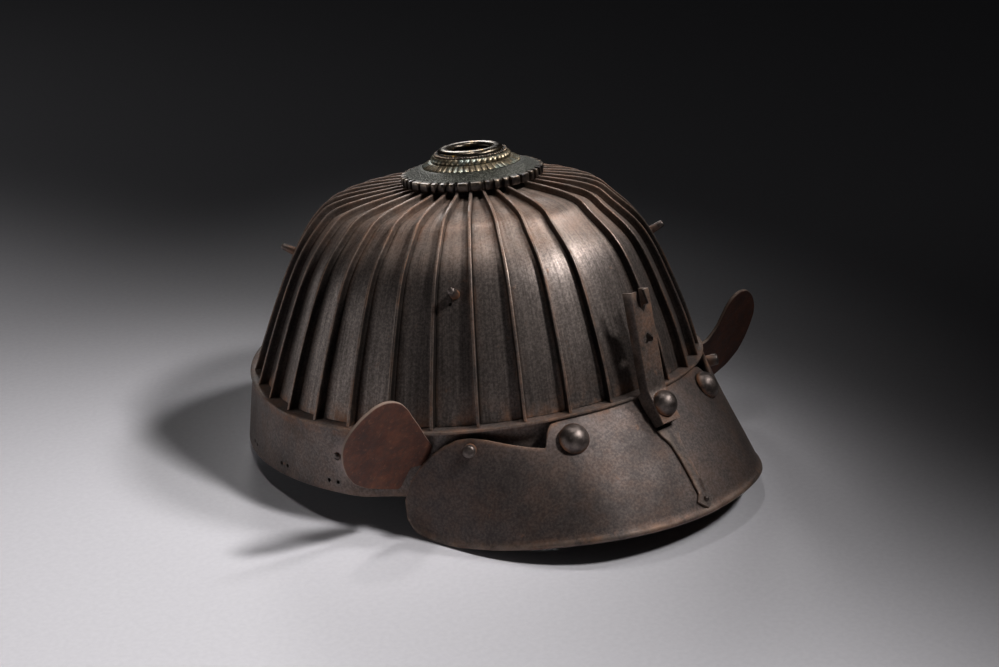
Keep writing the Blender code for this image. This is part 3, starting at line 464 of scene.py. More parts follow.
class Nodes:
    """Short names for building one material's nodes."""

    def __init__(self, look, metallic, roughness=0.5):
        self.material = LOOKS[look] = bpy.data.materials.new(f"{look}_look")
        self.material.use_nodes = True
        self.tree = self.material.node_tree
        self.shader = self.tree.nodes["Principled BSDF"]
        self.metal(metallic)
        self.rough(roughness)
        self.places = self.node("ShaderNodeTexCoord", {}, "Object")
        self.height = None
        self.colour_now = None

    def node(self, kind, inputs, output=0, **settings):
        """Makes a node, fills its inputs and returns one output."""
        node = self.tree.nodes.new(kind)
        for key, value in settings.items():
            setattr(node, key, value)
        for key, value in inputs.items():
            self.link(value, node.inputs[key])
        return node.outputs[output]

    def link(self, source, target):
        if hasattr(source, "node"):
            self.tree.links.new(source, target)
        else:
            target.default_value = source

    def value(self, name, output="Fac"):
        return self.node("ShaderNodeAttribute", {}, output, attribute_name=name)

    def math(self, operation, a, b, clamp=False):
        return self.node("ShaderNodeMath", {0: a, 1: b}, operation=operation, use_clamp=clamp)

    def times(self, a, b, clamp=False):
        return self.math("MULTIPLY", a, b, clamp)

    def plus(self, a, b, clamp=False):
        return self.math("ADD", a, b, clamp)

    def band(self, value, low, high, low_to=0.0, high_to=1.0):
        """Maps low..high to low_to..high_to, clamped."""
        return self.node("ShaderNodeMapRange", {0: value, 1: low, 2: high, 3: low_to, 4: high_to})

    def noise(self, scale, detail, rough, place=None, stretch=(1, 1, 1), seed=0):
        place = place or self.places
        if seed or stretch != (1, 1, 1):
            shift = (seed, 2 * seed, 3 * seed)
            place = self.node("ShaderNodeMapping", {"Vector": place, "Scale": stretch, "Location": shift})
        values = {"Vector": place, "Scale": scale, "Detail": detail, "Roughness": rough}
        return self.node("ShaderNodeTexNoise", values, "Fac")

    def mix(self, share, a, b):
        a, b = [colour if hasattr(colour, "node") else (*colour, 1) for colour in (a, b)]
        return self.node("ShaderNodeMix", {0: share, 6: a, 7: b}, 2, data_type="RGBA")

    def scale(self, colour, amount):
        return self.node("ShaderNodeVectorMath", {0: colour, "Scale": amount}, operation="SCALE")

    def colour(self, value):
        self.colour_now = value
        self.link(value, self.shader.inputs["Base Color"])

    def rough(self, value):
        self.link(value, self.shader.inputs["Roughness"])

    def metal(self, value):
        self.link(value, self.shader.inputs["Metallic"])

    def bump(self, value, distance, strength):
        values = {"Strength": strength, "Distance": distance, "Height": value}
        if self.height:
            values["Normal"] = self.height
        self.height = self.node("ShaderNodeBump", values)
        self.link(self.height, self.shader.inputs["Normal"])


RUST = (0.29, 0.132, 0.066)
WORN = (0.3, 0.23, 0.185)
TAN = (0.34, 0.18, 0.1)
# Rust-brown of the bowl's top, made lighter to stand for the light falling there: rust tone and painted
# light.
CROWN_RUST_PAINTED_LIGHT = (0.32, 0.246, 0.206)
IRONS = {
    # look: dark, light, metallic, smoothest, roughest, streaks, spots, worn; the band's comes last
    "bowl_iron": ((0.036, 0.028, 0.025), (0.255, 0.212, 0.193), 0.8, 0.35, 0.5, True, 0.5, 0.6),
    "visor_iron": ((0.048, 0.037, 0.034), (0.112, 0.089, 0.082), 0.6, 0.48, 0.62, False, 0.35, 0.4),
    "holder_iron": ((0.08, 0.063, 0.055), (0.185, 0.148, 0.132), 0.7, 0.42, 0.58, False, 0.6, 0.7),
    "band_iron": ((0.066, 0.053, 0.048), (0.16, 0.132, 0.121), 0.6, 0.46, 0.62, False, 0.7, 0.4),
}


def iron(look, dark, light, metallic, smoothest, roughest, streaks, spots, worn):
    """Old patinated iron: streaks along the grain, blotches, rust in corners and worn edges, painted shade by
    the ridges and a rust-brown top lightened as painted light.
    """
    n = Nodes(look, metallic)
    blotch = n.noise(28, 5, 0.62)
    fine = n.noise(900, 3, 0.7)
    tone = n.band(blotch, 0.3, 0.7)
    if streaks:
        grain = n.value("grain", "Vector")
        streak = n.noise(1, 4, 0.65, grain, (1400, 42, 1))
        long_streak = n.noise(1, 2, 0.5, grain, (380, 9, 1), 3)
        tone = n.plus(n.times(n.band(streak, 0.28, 0.72), 0.42), n.times(n.band(blotch, 0.32, 0.68), 0.28))
        tone = n.plus(tone, n.times(n.band(long_streak, 0.32, 0.68), 0.3), True)
    colour = n.scale(n.mix(tone, dark, light), n.band(fine, 0.4, 0.64, 0.62, 1.24))
    patches = n.noise(75, 5, 0.7, seed=5)
    crumbs = n.noise(420, 4, 0.75, seed=6)
    rusty = n.times(n.band(patches, 0.42, 0.62), n.value("rust"), True)
    spotty = n.times(n.band(n.noise(160, 4, 0.7, seed=9), 0.64, 0.76), spots, True)
    rusty = n.math("MAXIMUM", n.times(rusty, n.band(crumbs, 0.35, 0.6, 0.45, 1)), spotty)
    speckled = n.times(tone, n.band(fine, 0.36, 0.6, 0.6, 1.2))
    # Towards the crown the iron turns rust-brown and is lightened there as painted light on the top of the
    # bowl.
    high = n.times(n.value("high"), n.band(speckled, 0.15, 0.75, 0.25, 1), True)
    colour = n.mix(rusty, n.mix(high, colour, CROWN_RUST_PAINTED_LIGHT), RUST)
    # Darkens the colour on the ridge walls and in the corners beside them: painted shade.
    colour = n.scale(colour, n.band(n.value("dirt"), 0, 1, 1, 0.16))
    n.metal(n.band(n.math("MAXIMUM", high, rusty), 0, 1, metallic, 0.3))
    wear = n.noise(120, 4, 0.7, seed=2)
    bare = n.times(n.times(n.value("edge"), n.band(wear, 0.38, 0.58)), worn, True)
    warm = n.band(n.noise(48, 3, 0.6, seed=12), 0.46, 0.6)
    n.colour(n.mix(bare, colour, n.mix(warm, WORN, TAN)))
    roughness = n.plus(n.band(tone, 0, 1, roughest, smoothest), n.times(rusty, 0.25))
    n.rough(n.math("SUBTRACT", roughness, n.times(bare, 0.1), True))
    if streaks:
        n.bump(streak, 0.00006, 0.5)
    n.bump(blotch, 0.0004, 0.35)
    n.bump(fine, 0.00005, 0.6)
    n.bump(n.times(crumbs, rusty), 0.00025, 0.8)
    return n


def make_materials():
    for look, values in IRONS.items():
        n = iron(look, *values)
    scaly = n.noise(520, 5, 0.75, seed=8)
    patch = n.times(n.value("patch"), n.band(scaly, 0.36, 0.58, 0.25, 0.95), True)
    n.colour(n.mix(patch, n.colour_now, (0.27, 0.205, 0.19)))
    n.bump(n.times(scaly, n.value("patch")), 0.0002, 0.7)

    n = Nodes("ear_rust", 0.05)
    blotch = n.noise(60, 6, 0.72)
    mottle = n.noise(230, 5, 0.75, seed=4)
    fine = n.noise(520, 4, 0.7)
    colour = n.mix(n.band(blotch, 0.36, 0.62), (0.04, 0.011, 0.006), (0.092, 0.029, 0.014))
    colour = n.scale(colour, n.band(mottle, 0.34, 0.64, 0.55, 1.35))
    colour = n.mix(n.band(fine, 0.56, 0.72, 0, 0.7), colour, (0.15, 0.058, 0.03))
    n.colour(n.mix(n.times(n.value("edge"), 0.6), colour, WORN))
    n.rough(n.band(mottle, 0.3, 0.7, 0.62, 0.85))
    n.bump(fine, 0.00012, 0.7)

    n = Nodes("rivet_iron", 0.85)
    blotch = n.noise(260, 5, 0.7)
    colour = n.mix(n.band(blotch, 0.4, 0.66), (0.08, 0.064, 0.058), (0.2, 0.165, 0.15))
    rusty = n.times(n.value("rust"), n.band(blotch, 0.36, 0.56), True)
    n.colour(n.mix(rusty, colour, RUST))
    n.rough(n.plus(n.band(blotch, 0.3, 0.7, 0.36, 0.5), n.times(rusty, 0.3)))
    n.bump(blotch, 0.00012, 0.4)

    n = Nodes("crown_dark", 0.85)
    blotch = n.noise(220, 5, 0.7)
    dish = n.value("dish")
    stipple = n.node("ShaderNodeTexVoronoi", {"Vector": n.places, "Scale": 1300}, "Distance")
    dots = n.band(stipple, 0.15, 0.55, 1, 0)
    base = n.mix(n.band(blotch, 0.36, 0.64), (0.03, 0.026, 0.027), (0.105, 0.084, 0.072))
    bare = n.times(n.value("edge"), n.band(blotch, 0.38, 0.6, 0, 0.8), True)
    base = n.mix(bare, base, (0.3, 0.225, 0.16))
    green = n.times(dots, n.band(blotch, 0.35, 0.62, 0.45, 1))
    n.colour(n.mix(dish, base, n.mix(green, (0.045, 0.046, 0.038), (0.2, 0.202, 0.172))))
    n.rough(n.plus(n.band(blotch, 0.3, 0.7, 0.26, 0.42), n.times(dish, 0.16)))
    n.bump(n.times(dots, dish), 0.00022, 0.9)

    n = Nodes("crown_gilt", 0.85)
    blotch = n.noise(330, 5, 0.7)
    other = n.noise(140, 4, 0.6, seed=4)
    colour = n.mix(n.band(blotch, 0.36, 0.6), (0.085, 0.066, 0.044), (0.4, 0.33, 0.22))
    colour = n.mix(n.band(other, 0.48, 0.6), colour, (0.3, 0.34, 0.3))
    # Near black in the hollows between the swells: painted shade.
    n.colour(n.mix(n.value("hollow"), colour, (0.016, 0.013, 0.011)))
    n.rough(n.band(blotch, 0.3, 0.7, 0.46, 0.28))
    n.bump(blotch, 0.0001, 0.5)

    n = Nodes("crown_bronze", 0.95)
    blotch = n.noise(120, 5, 0.7)
    flecks = n.noise(240, 4, 0.65, seed=7)
    colour = n.mix(n.band(blotch, 0.38, 0.62), (0.06, 0.05, 0.042), (0.15, 0.122, 0.09))
    n.colour(n.mix(n.band(flecks, 0.6, 0.66), colour, (0.56, 0.33, 0.095)))
    n.rough(n.band(blotch, 0.3, 0.7, 0.18, 0.32))


# Pieces

def plate_profile(first, last):
    """Section of a plate: place, offset in mm, share of the ridge, drop, edge, rust, and painted shade on the
    ridge walls and in the corners beside them.
    """
    half = PLATE_GAP / 2
    far = half + RIDGE_THICKNESS
    # The last column darkens the ridge walls and the corners beside them: painted shade.
    flank = [
        (0, 0.5, 0, 0, 0.2, 1),
        (0, 0, 0.6, 0, 0.2, 0.8),
        (0, 0, 0.22, 0.6, 0.2, 0),
        (0.07, 0, 0.06, 1, 0.1, 0),
        (0.24, 0, 0, 0.3, 0.3, 0),
    ]
    start = (half, 1, PLATE_THICKNESS, 0, 0, 0)
    ridge = [start] + [(half + row[0],) + row[1:] for row in flank]
    ridge.append((half + RIDGE_THICKNESS / 2, 0, -0.04, 0, 0.5, 0.2))
    ridge += [(far - row[0],) + row[1:] for row in reversed(flank)]
    ridge += [
        (far + 0.05, 1, -0.6, 0, 0.4, 1),
        (far + 0.25, 1, -0.18, 0, 0.5, 0.7),
        (far + 0.7, 1, 0, 0, 0.3, 0.3),
        (far + 2, 1, 0, 0, 0, 0),
    ]
    plain = [
        start,
        (half, 1, 0.25, 0, 0.5, 1),
        (half + 0.25, 1, 0, 0, 0.5, 0.9),
        (half + 1.6, 1, 0, 0, 0.1, 0.1),
    ]
    rows = [(0,) + row for row in (ridge if first else plain)]
    rows += [(place, 0, 1, 0, 0, 0, 0) for place in (0.25, 0.375, 0.5, 0.625, 0.75)]
    rows += [(1, -row[0]) + row[1:] for row in reversed(ridge if last else plain)]
    rows += [(place, 0, 1, PLATE_THICKNESS, 0, 0, 0) for place in (0.75, 0.5, 0.25)]
    return rows


def build_plates():
    ridges = ridge_angles()
    foot = GAP / BOWL_HEIGHT
    share = blend(foot, 1, 1 - (1 - np.linspace(0, 1, PLATE_ROWS)) ** 1.25)
    ridge = ridge_height(share)
    # high marks the top of the bowl, which is rust-brown and lightened there as painted light.
    high = smooth(share, 0.66, 0.9)
    level = smooth(share, 0, PLATE_FOOT_SHARE)
    spans = [("plate_front", -ridges[0], ridges[0], False, False)]
    for number, (start, end) in enumerate(zip(ridges, ridges[1:]), 1):
        for side, name in SIDES:
            spans.append((f"plate_{name}_{number:02d}", side * start, side * end, True, False))
    spans.append(("plate_back", ridges[-1], 2 * pi - ridges[-1], True, True))
    plates = {}
    for number, (name, start, end, first, last) in enumerate(spans):
        sign = 1 if end > start else -1
        length = lengths_along(bowl_point(np.full_like(share, (start + end) / 2), share))
        low = 1.2 * np.exp(-length / 4.5)
        columns = []
        for place, offset, part, drop, edge, rust, dirt in plate_profile(first, last):
            base = np.full_like(share, blend(start, end, place))
            around = norm(bowl_frame(base, share)[2], axis=1)
            angle = base + sign * offset / around
            point, normal, _, _ = bowl_frame(angle, share)
            normal = unit(normal * stack(1, 1, level))
            width = (angle - (start + end) / 2) * around
            columns.append((
                point - normal * (ridge * part + drop)[:, None],
                np.full_like(share, edge),
                np.clip(rust + low + 0.3 * high, 0, 1),
                dirt * (1 - 0.25 * high),
                stack(width * MM + number * 0.31, length * MM, number * 1.7),
            ))
        rows, edge, rust, dirt, grain = [np.stack(data, axis=1) for data in zip(*columns)]
        # The profile's last column becomes painted shade on the ridge walls and corners, a little weaker near
        # the crown.
        values = {"edge": edge.ravel(), "rust": rust.ravel(), "dirt": dirt.ravel(),
                  "high": np.repeat(high, len(columns)), "grain": grain.reshape(-1, 3)}
        plates[name] = put(name, "bowl_iron", skin(rows), values, 38)
    return plates


def band_lower_edge(angle):
    return -blend(BAND_FRONT_HEIGHT, BAND_HEIGHT, smooth(away(angle), 40, 58))


def band_wall_point(angle, height, out=0):
    behind = smooth(away(angle), 63, 74)
    top_out = blend(BAND_WALL_FRONT, BAND_WALL_BACK, behind)
    foot_out = blend(BAND_WALL_FRONT, BAND_FOOT_OUT, behind)
    top = bowl_point(angle, np.zeros_like(angle)) + rim_normal(angle) * np.asarray(top_out)[..., None]
    foot = rim_point(angle, foot_out)
    share = np.asarray(-height / BAND_HEIGHT)[..., None]
    point = top * (1 - share) + foot * share
    point[..., 2] = height
    return point + rim_normal(angle) * out


def build_band():
    steps = 288
    angle = np.linspace(0, 2 * pi, steps, endpoint=False)
    lip = rim_height(angle) - BAND_LIP_THICKNESS
    foot = band_lower_edge(angle)
    reach = blend(BAND_LIP_REACH_FRONT, BAND_LIP_REACH, smooth(away(angle), 20, 60))
    rim = bowl_point(angle, np.zeros_like(angle))
    way = rim_normal(angle)
    # Each column has its points, its edge and its rust
    columns = []
    for out, down, edge in ((-1.5, 0, 0), (-0.45, 0, 0.5), (-0.12, 0.12, 1), (0, 0.45, 1),
                            (0, 0.85, 0.8), (-0.12, 1.18, 0.4), (-0.45, 1.3, 0)):
        columns.append((rim + way * (reach + out)[:, None] - UP * down, edge, 0.5))
    columns.append((band_wall_point(angle, lip - 0.6), 0, 0.7))
    for i in range(1, 9):
        height = (lip - 0.6) * (1 - i / 9) + (foot + 0.5) * (i / 9)
        columns.append((band_wall_point(angle, height), 0, 0.15))
    for height, out, edge in ((0.5, 0, 0.5), (0.15, -0.15, 0.9), (0, -0.5, 0.9),
                              (0, -BAND_THICKNESS + 0.3, 0.5), (0.3, -BAND_THICKNESS, 0.2)):
        columns.append((band_wall_point(angle, foot + height, out), edge, 0.3))
    columns.append((band_wall_point(angle, lip - 0.6, -BAND_THICKNESS), 0, 0.2))
    for down in (BAND_LIP_THICKNESS, 0):
        columns.append((rim - way * BAND_SHELF - UP * down, 0, 0.2))
    rows, edges, rusts = zip(*columns)
    mesh = skin(np.stack(rows, axis=1), closed=True)
    off = norm(mesh[0] - band_wall_point(*PATCH[:2]), axis=1) / PATCH[2]
    values = {"edge": np.tile(edges, steps), "rust": np.tile(rusts, steps), "patch": np.exp(-off ** 6)}
    band = put("waist_band", "band_iron", mesh, values, 35)
    cutters = []
    for side in (1, -1):
        for centre in LACING_ANGLES:
            width = norm(rim_point(radians(centre + 1)) - rim_point(radians(centre)))
            for shift in (-0.5, 0.5):
                at = radians(side * (centre + shift * LACING_HOLE_SPACING / width))
                origin = band_wall_point(at, band_lower_edge(at) + LACING_HOLE_RISE)
                cutters.append(drill(origin, rim_normal(at), LACING_HOLE_RADIUS))
    bore(band, cutters)


def visor_upper(degrees_away):
    """Depth of the visor's top edge, its corners rounded over about a degree."""
    table, _, _, values = zip(*VISOR)
    total = 0
    weights = 0
    for shift in np.linspace(-0.7, 0.7, 8):
        weight = np.exp(-(shift / 0.4) ** 2)
        place = np.clip(np.abs(degrees_away + shift), 0, table[-1])
        total = total + weight * np.interp(place, table, values)
        weights += weight
    return total / weights


def visor_point(angle, height, out=0):
    angle = np.asarray(angle, float)
    place = np.degrees(angle)
    slope = np.radians(VISOR_SLOPE(place))
    lower = VISOR_LOWER(place)
    share = np.clip(-height / lower, 0, 1)
    bulge = VISOR_BULGE * 4 * share * (1 - share) * np.cos(angle) ** 2
    reach = VISOR_OUT + np.tan(slope) * np.maximum(-height, 0) + bulge
    normal = unit(rim_normal(angle) * np.cos(slope)[..., None] + UP * np.sin(slope)[..., None])
    return rim_point(angle, reach) + UP * np.asarray(height)[..., None] + normal * np.asarray(out)[..., None]


def visor_normal(angle):
    slope = np.radians(VISOR_SLOPE(np.degrees(angle)))
    return rim_normal(angle) * np.cos(slope) + UP * np.sin(slope)


def build_visor():
    limit = VISOR[-1][0]
    marks = np.concatenate([np.linspace(0, 26, 27), np.linspace(26.2, 30, 20),
                            np.linspace(30.5, 54, 48), np.linspace(54.3, limit, 30)])
    marks = np.concatenate([-marks[:0:-1], marks])
    angle = np.radians(marks)
    foot = -VISOR_LOWER(marks)
    top = rim_height(angle) - BAND_LIP_THICKNESS - GAP - visor_upper(marks)
    lip = VISOR_LIP * (1 - smooth(np.abs(marks), limit - 1.2, limit))
    bead = foot + VISOR_LIP_HEIGHT
    rows = 26
    columns = []

    def add(height, out, edge, rust):
        columns.append((visor_point(angle, height, out), edge, rust))

    for drop, out, edge in ((0, -0.5, 0.9), (0, -0.35, 0.9), (0.15, -0.1, 0.7), (0.35, 0, 0.4)):
        add(top - drop, out, edge, 0.5)
    for i in range(1, rows):
        add((top - 0.35) * (1 - i / rows) + (bead + 1) * (i / rows), 0, 0, 0.12)
    for rise, out, edge in ((1, 0, 0.15), (0.5, 0.25, 0.45), (0, 0.75, 0.8), (-0.6, 1, 0.9)):
        add(bead + rise, lip * out, edge, 0.3)
    for rise, out, edge in ((0.5, 1, 0.9), (0.12, 0.7, 0.8), (0, 0.2, 0.6)):
        add(foot + rise, lip * out, edge, 0.3)
    add(foot, 0.3 - VISOR_THICKNESS, 0.3, 0.3)
    for i in range(rows + 1):
        add((foot + 0.3) * (1 - i / rows) + (top - 0.2) * (i / rows), -VISOR_THICKNESS, 0, 0.3)
    add(top, 0.25 - VISOR_THICKNESS, 0.3, 0.3)
    grid, edges, rusts = zip(*columns)
    ends = 0.7 * smooth(np.abs(marks), limit - 1, limit)[:, None]
    values = {"edge": np.maximum(np.tile(edges, (len(marks), 1)), ends).ravel(),
              "rust": np.tile(rusts, len(marks))}
    put("visor", "visor_iron", skin(np.stack(grid, axis=1)), values, 50)


def dome(diameter, height, rows):
    """Part of a ball with a low straight skirt."""
    radius = diameter / 2
    skirt = 0.12 * height
    rise = height - skirt
    ball = (radius * radius + rise ** 2) / (2 * rise)
    sweep = atan2(radius, ball - rise)
    profile = [(0, 0), (radius, 0)]
    for i in range(rows):
        turn = sweep * (1 - i / rows)
        profile.append((ball * sin(turn), skirt + ball * cos(turn) - (ball - rise)))
    profile.append((0, height))
    return profile


def stud(node, seat, axis, profile, steps, rust_from, rust_to):
    """A turned piece that stands on its seat and is rusty round its foot."""
    points, faces = turned(seat, axis, profile, steps)
    rust = 1 - smooth((points - seat) @ unit(axis), rust_from, rust_to)
    put(node, "rivet_iron", (points, faces), {"rust": rust}, 50)


def rivet(node, seat, axis, diameter, height, steps=48, rows=12):
    stud(node, seat, axis, dome(diameter, height, rows), steps, 0.05 * height, 0.45 * height)


def holder_path():
    top, bend, foot = [np.array([0, -BOWL_FRONT - reach, height])
                       for reach, height in (HOLDER_TOP, HOLDER_BEND, HOLDER_FOOT)]
    down = unit(bend - top)
    foot_way = unit(foot - bend)
    half_turn = (pi - np.arccos(float(down @ foot_way))) / 2
    back_off = HOLDER_BEND_RADIUS / tan(half_turn)
    start = bend - down * back_off
    end = bend + foot_way * back_off
    path = [blend(top, start, i / 12) for i in range(13)]
    for i in range(1, 10):
        path.append(arc_point(start, bend, end, i / 10))
    path += [blend(end, foot, i / 5) for i in range(6)]
    return path, down, foot_way


def mirrored(outline):
    return [(-a, b) for a, b in reversed(outline)]


def depth_to_visor(point, back):
    low = 0
    high = 2 * HOLDER_FOOT_DEPTH
    for _ in range(30):
        depth = (low + high) / 2
        place = point + back * depth
        surface = visor_point(0, min(place[2], 0), 0.45)
        if place[1] < surface[1]:
            low = depth
        else:
            high = depth
    return low


def build_holder():
    path, down, _ = holder_path()
    half = HOLDER_WIDTH / 2
    wall = HOLDER_THICKNESS
    inner = half - wall
    right = np.array([1, 0, 0])
    rows = []
    for i, point in enumerate(path):
        along = unit(path[min(i + 1, len(path) - 1)] - path[max(i - 1, 0)])
        back = np.cross(right, along)
        back = back if back[1] > 0 else -back
        depth = HOLDER_DEPTH
        if point[2] < HOLDER_BEND[1]:
            depth = min(HOLDER_FOOT_DEPTH, depth_to_visor(point, back))
        side = ((0.3, depth), (0, depth - 0.3), (0, 0.9), (0.04, 0.45), (0.18, 0.16), (0.45, 0.03),
                (0.8, 0), (2.2, 0), (4, 0))
        side = [(a - half, b) for a, b in side]
        inside = [(inner + 0.2, depth), (inner, depth - 0.3), (inner, wall + 0.5), (inner - 0.5, wall)]
        outline = side + mirrored(side) + inside + [(0, wall)] + mirrored(inside)
        rows.append([point + right * a + back * b for a, b in outline])
    rust = [0.1, 0.1, 0.05, 0.1, 0.3, 0.7, 0.6, 0.5, 0.5]
    edge = [0.5, 0.5, 0, 0, 0.3, 0.3, 0, 0, 0]
    edges = np.tile(edge + edge[::-1] + [0] * 9, (len(path), 1))
    edges[0] = 1
    values = {"rust": np.tile(rust + rust[::-1] + [0.6] * 9, len(path)), "edge": edges.ravel()}
    holder = put("crest_holder", "holder_iron", skin(rows), values, 45)
    mouth = TOP_CUT_MOUTH / 2
    wide = TOP_CUT_WIDTH / 2
    top_cut = [(-mouth, 6), (-mouth, 0), (-wide, -TOP_CUT_WIDEST),
               (-wide * 0.45, -TOP_CUT_WIDEST - 0.4)]
    top_cut += [(0, -TOP_CUT_DEPTH)] + mirrored(top_cut)
    lobe = HEART_WIDTH / 4
    level = -HEART_DROP - HEART_HEIGHT + lobe
    turns = [radians(25 - 17 * i) for i in range(12)]
    arc = [(lobe + lobe * cos(turn), level + lobe * sin(turn)) for turn in turns]
    arc = [(a, b) for a, b in arc if a > 0.02]
    heart = [(0, -HEART_DROP)] + arc + [(0, level)] + mirrored(arc)
    web = (-HOLDER_DEPTH / 2, HOLDER_DEPTH / 2)
    bore(holder, [prism(outline, path[0], right, -down, web) for outline in (rounded(top_cut, 0.35), heart)])


def build_tail():
    depths, halves = zip(*TAIL)
    waist = 36.2
    marks = np.unique(np.concatenate([np.linspace(depths[0], waist, 40), np.linspace(waist, depths[-1], 24)]))
    widths = np.interp(marks, depths, halves)
    body = marks < 35.5
    widths[body] = spline(TAIL[:7], 1)(marks[body])
    low = GAP
    high = GAP + TAIL_THICKNESS
    rows = []
    for depth, half in zip(marks, widths):
        bevel = min(0.3, half * 0.4) / half
        section = ((-1, low), (0, low), (1, low), (1, high - 0.3), (1 - bevel, high), (0, high),
                   (-1 + bevel, high), (-1, high - 0.3))
        rows.append([visor_point(-across * half / BOWL_FRONT, -depth, off)
                     for across, off in section])
    values = {"edge": np.tile([0, 0, 0.3, 0.9, 0.9, 0, 0.9, 0.9], len(marks)),
              "rust": np.tile([0.6, 0.6, 0.6, 0.4, 0, 0, 0, 0.4], len(marks))}
    put("tail_plate", "holder_iron", skin(rows), values, 40, "visor_iron")


def crown_axes():
    centre = np.array([0, -CROWN_FORWARD, BOWL_HEIGHT + tan(CROWN_LEAN) * CROWN_FORWARD])
    axis = np.array([0, sin(CROWN_LEAN), cos(CROWN_LEAN)])
    side = np.array([1, 0, 0])
    ahead = np.cross(side, axis)
    return centre, axis, side, ahead if ahead[1] < 0 else -ahead


def ring(turns, rows):
    """Points and faces of a ring round the crown from turns in degrees.

    A row is a line round the ring: its radius and height are a number or one for each turn."""
    centre, axis, side, ahead = crown_axes()
    flat = np.zeros_like(turns)
    angle = np.radians(turns)[:, None]
    way = ahead * np.cos(angle) - side * np.sin(angle)
    lines = [centre + way * (radius + flat)[:, None] + axis * (height + flat)[:, None]
             for radius, height in rows]
    return skin(np.stack(lines, axis=1), closed=True)


def build_crown_base():
    turns = np.arange(0, 360, 0.3)
    raised = np.zeros_like(turns)
    crest = np.zeros_like(turns)
    for group in range(BASE_GROUPS):
        for low, high in BASE_BLOCKS:
            middle = (low + high) / 2 + 360 * group / BASE_GROUPS
            half = (high - low) / 2
            gap = np.abs((turns - middle + 180) % 360 - 180)
            raised = np.maximum(raised, 1 - smooth(gap, half - 0.15, half + 0.35))
            if half < 2.5:
                crest = np.maximum(crest, np.sqrt(np.clip(1 - (gap / half) ** 2, 0, 1)))
            else:
                crest = np.maximum(crest, 1 - smooth(gap, half - 1.2, half))
    top = GAP + BASE_HEIGHT
    # Each row has its radius, its height, its edge and its share of the dish
    rows = [(BASE_BORE_RADIUS, GAP, 0, 0)]
    rows += [(radius, top + DISH_RISE, 0, 1) for radius in (BASE_BORE_RADIUS, 17, DISH_TOP_RADIUS)]
    rows += [(24.5, top + 2.1, 0, 1), (26.5, top + 1.3, 0, 1), (28.3, top + 0.6, 0, 1),
             (29.2, top + 0.25, 0.2, 1)]
    inner = BASE_RADIUS - BASE_NOTCH_DEPTH
    for back, drop, edge in ((-0.9, 0, 0.5), (-0.25, -0.1, 1), (0, -0.45, 1), (0, -1.4, 0.2),
                             (0, -2.6, 0), (-0.1, -3.4, 0), (-0.4, -BASE_HEIGHT, 0)):
        radius = inner + BASE_NOTCH_DEPTH * raised + back * (0.4 + 0.6 * raised) + 0.35 * crest * raised
        height = top + drop - 0.5 * (1 - raised) * (1 if drop > -2 else 0)
        rows.append((radius - 0.35, height, edge, 0))
    edges = np.stack([row[2] * np.maximum(raised, 0.25) for row in rows], axis=1)
    values = {"edge": edges.ravel(), "dish": np.tile([row[3] for row in rows], len(turns))}
    put("crown_base", "crown_dark", ring(turns, [row[:2] for row in rows]), values, 40)


def petal_shape(turn, share):
    swell = np.abs(np.sin(turn)) ** 0.55
    radius = blend(PETAL_RADIUS, PETAL_TOP_RADIUS, share)
    puff = 0.25 * np.sin(pi * min(share * 1.1, 1))
    # The second value is the painted shade between the petals.
    return radius - 0.25 + puff - (0.95 - 0.5 * share) * (1 - swell), 1 - swell * 1.25


def rope_shape(turn, share):
    swell = np.abs(np.sin(turn + 1.1 * (share - 0.5))) ** 0.6
    radius = ROPE_RADIUS - 0.75 - share + 0.55 * sin(pi * share) - 0.75 * (1 - swell)
    # The second value is the painted shade between the twists.
    return radius, 1 - swell * 1.2


def gilt_ring(node, count, level, height, bore_radius, shape):
    """A ring with swells all round; shape gives the radius and the painted shade in the hollows between the
    swells.
    """
    turns = np.arange(0, 360, 360 / (count * 12))
    rows = []
    hollow = []
    for share in np.linspace(0, 1, 9):
        # dark is the painted shade in the hollows between the swells.
        radius, dark = shape(np.radians(turns) * count / 2, share)
        rows.append((radius, level + height * share))
        hollow.append(np.clip(dark, 0, 1))
    rows += [(bore_radius, level + height), (bore_radius, level)]
    hollow += [np.zeros_like(turns)] * 2
    put(node, "crown_gilt", ring(turns, rows), {"hollow": np.stack(hollow, axis=1).ravel()}, 60)


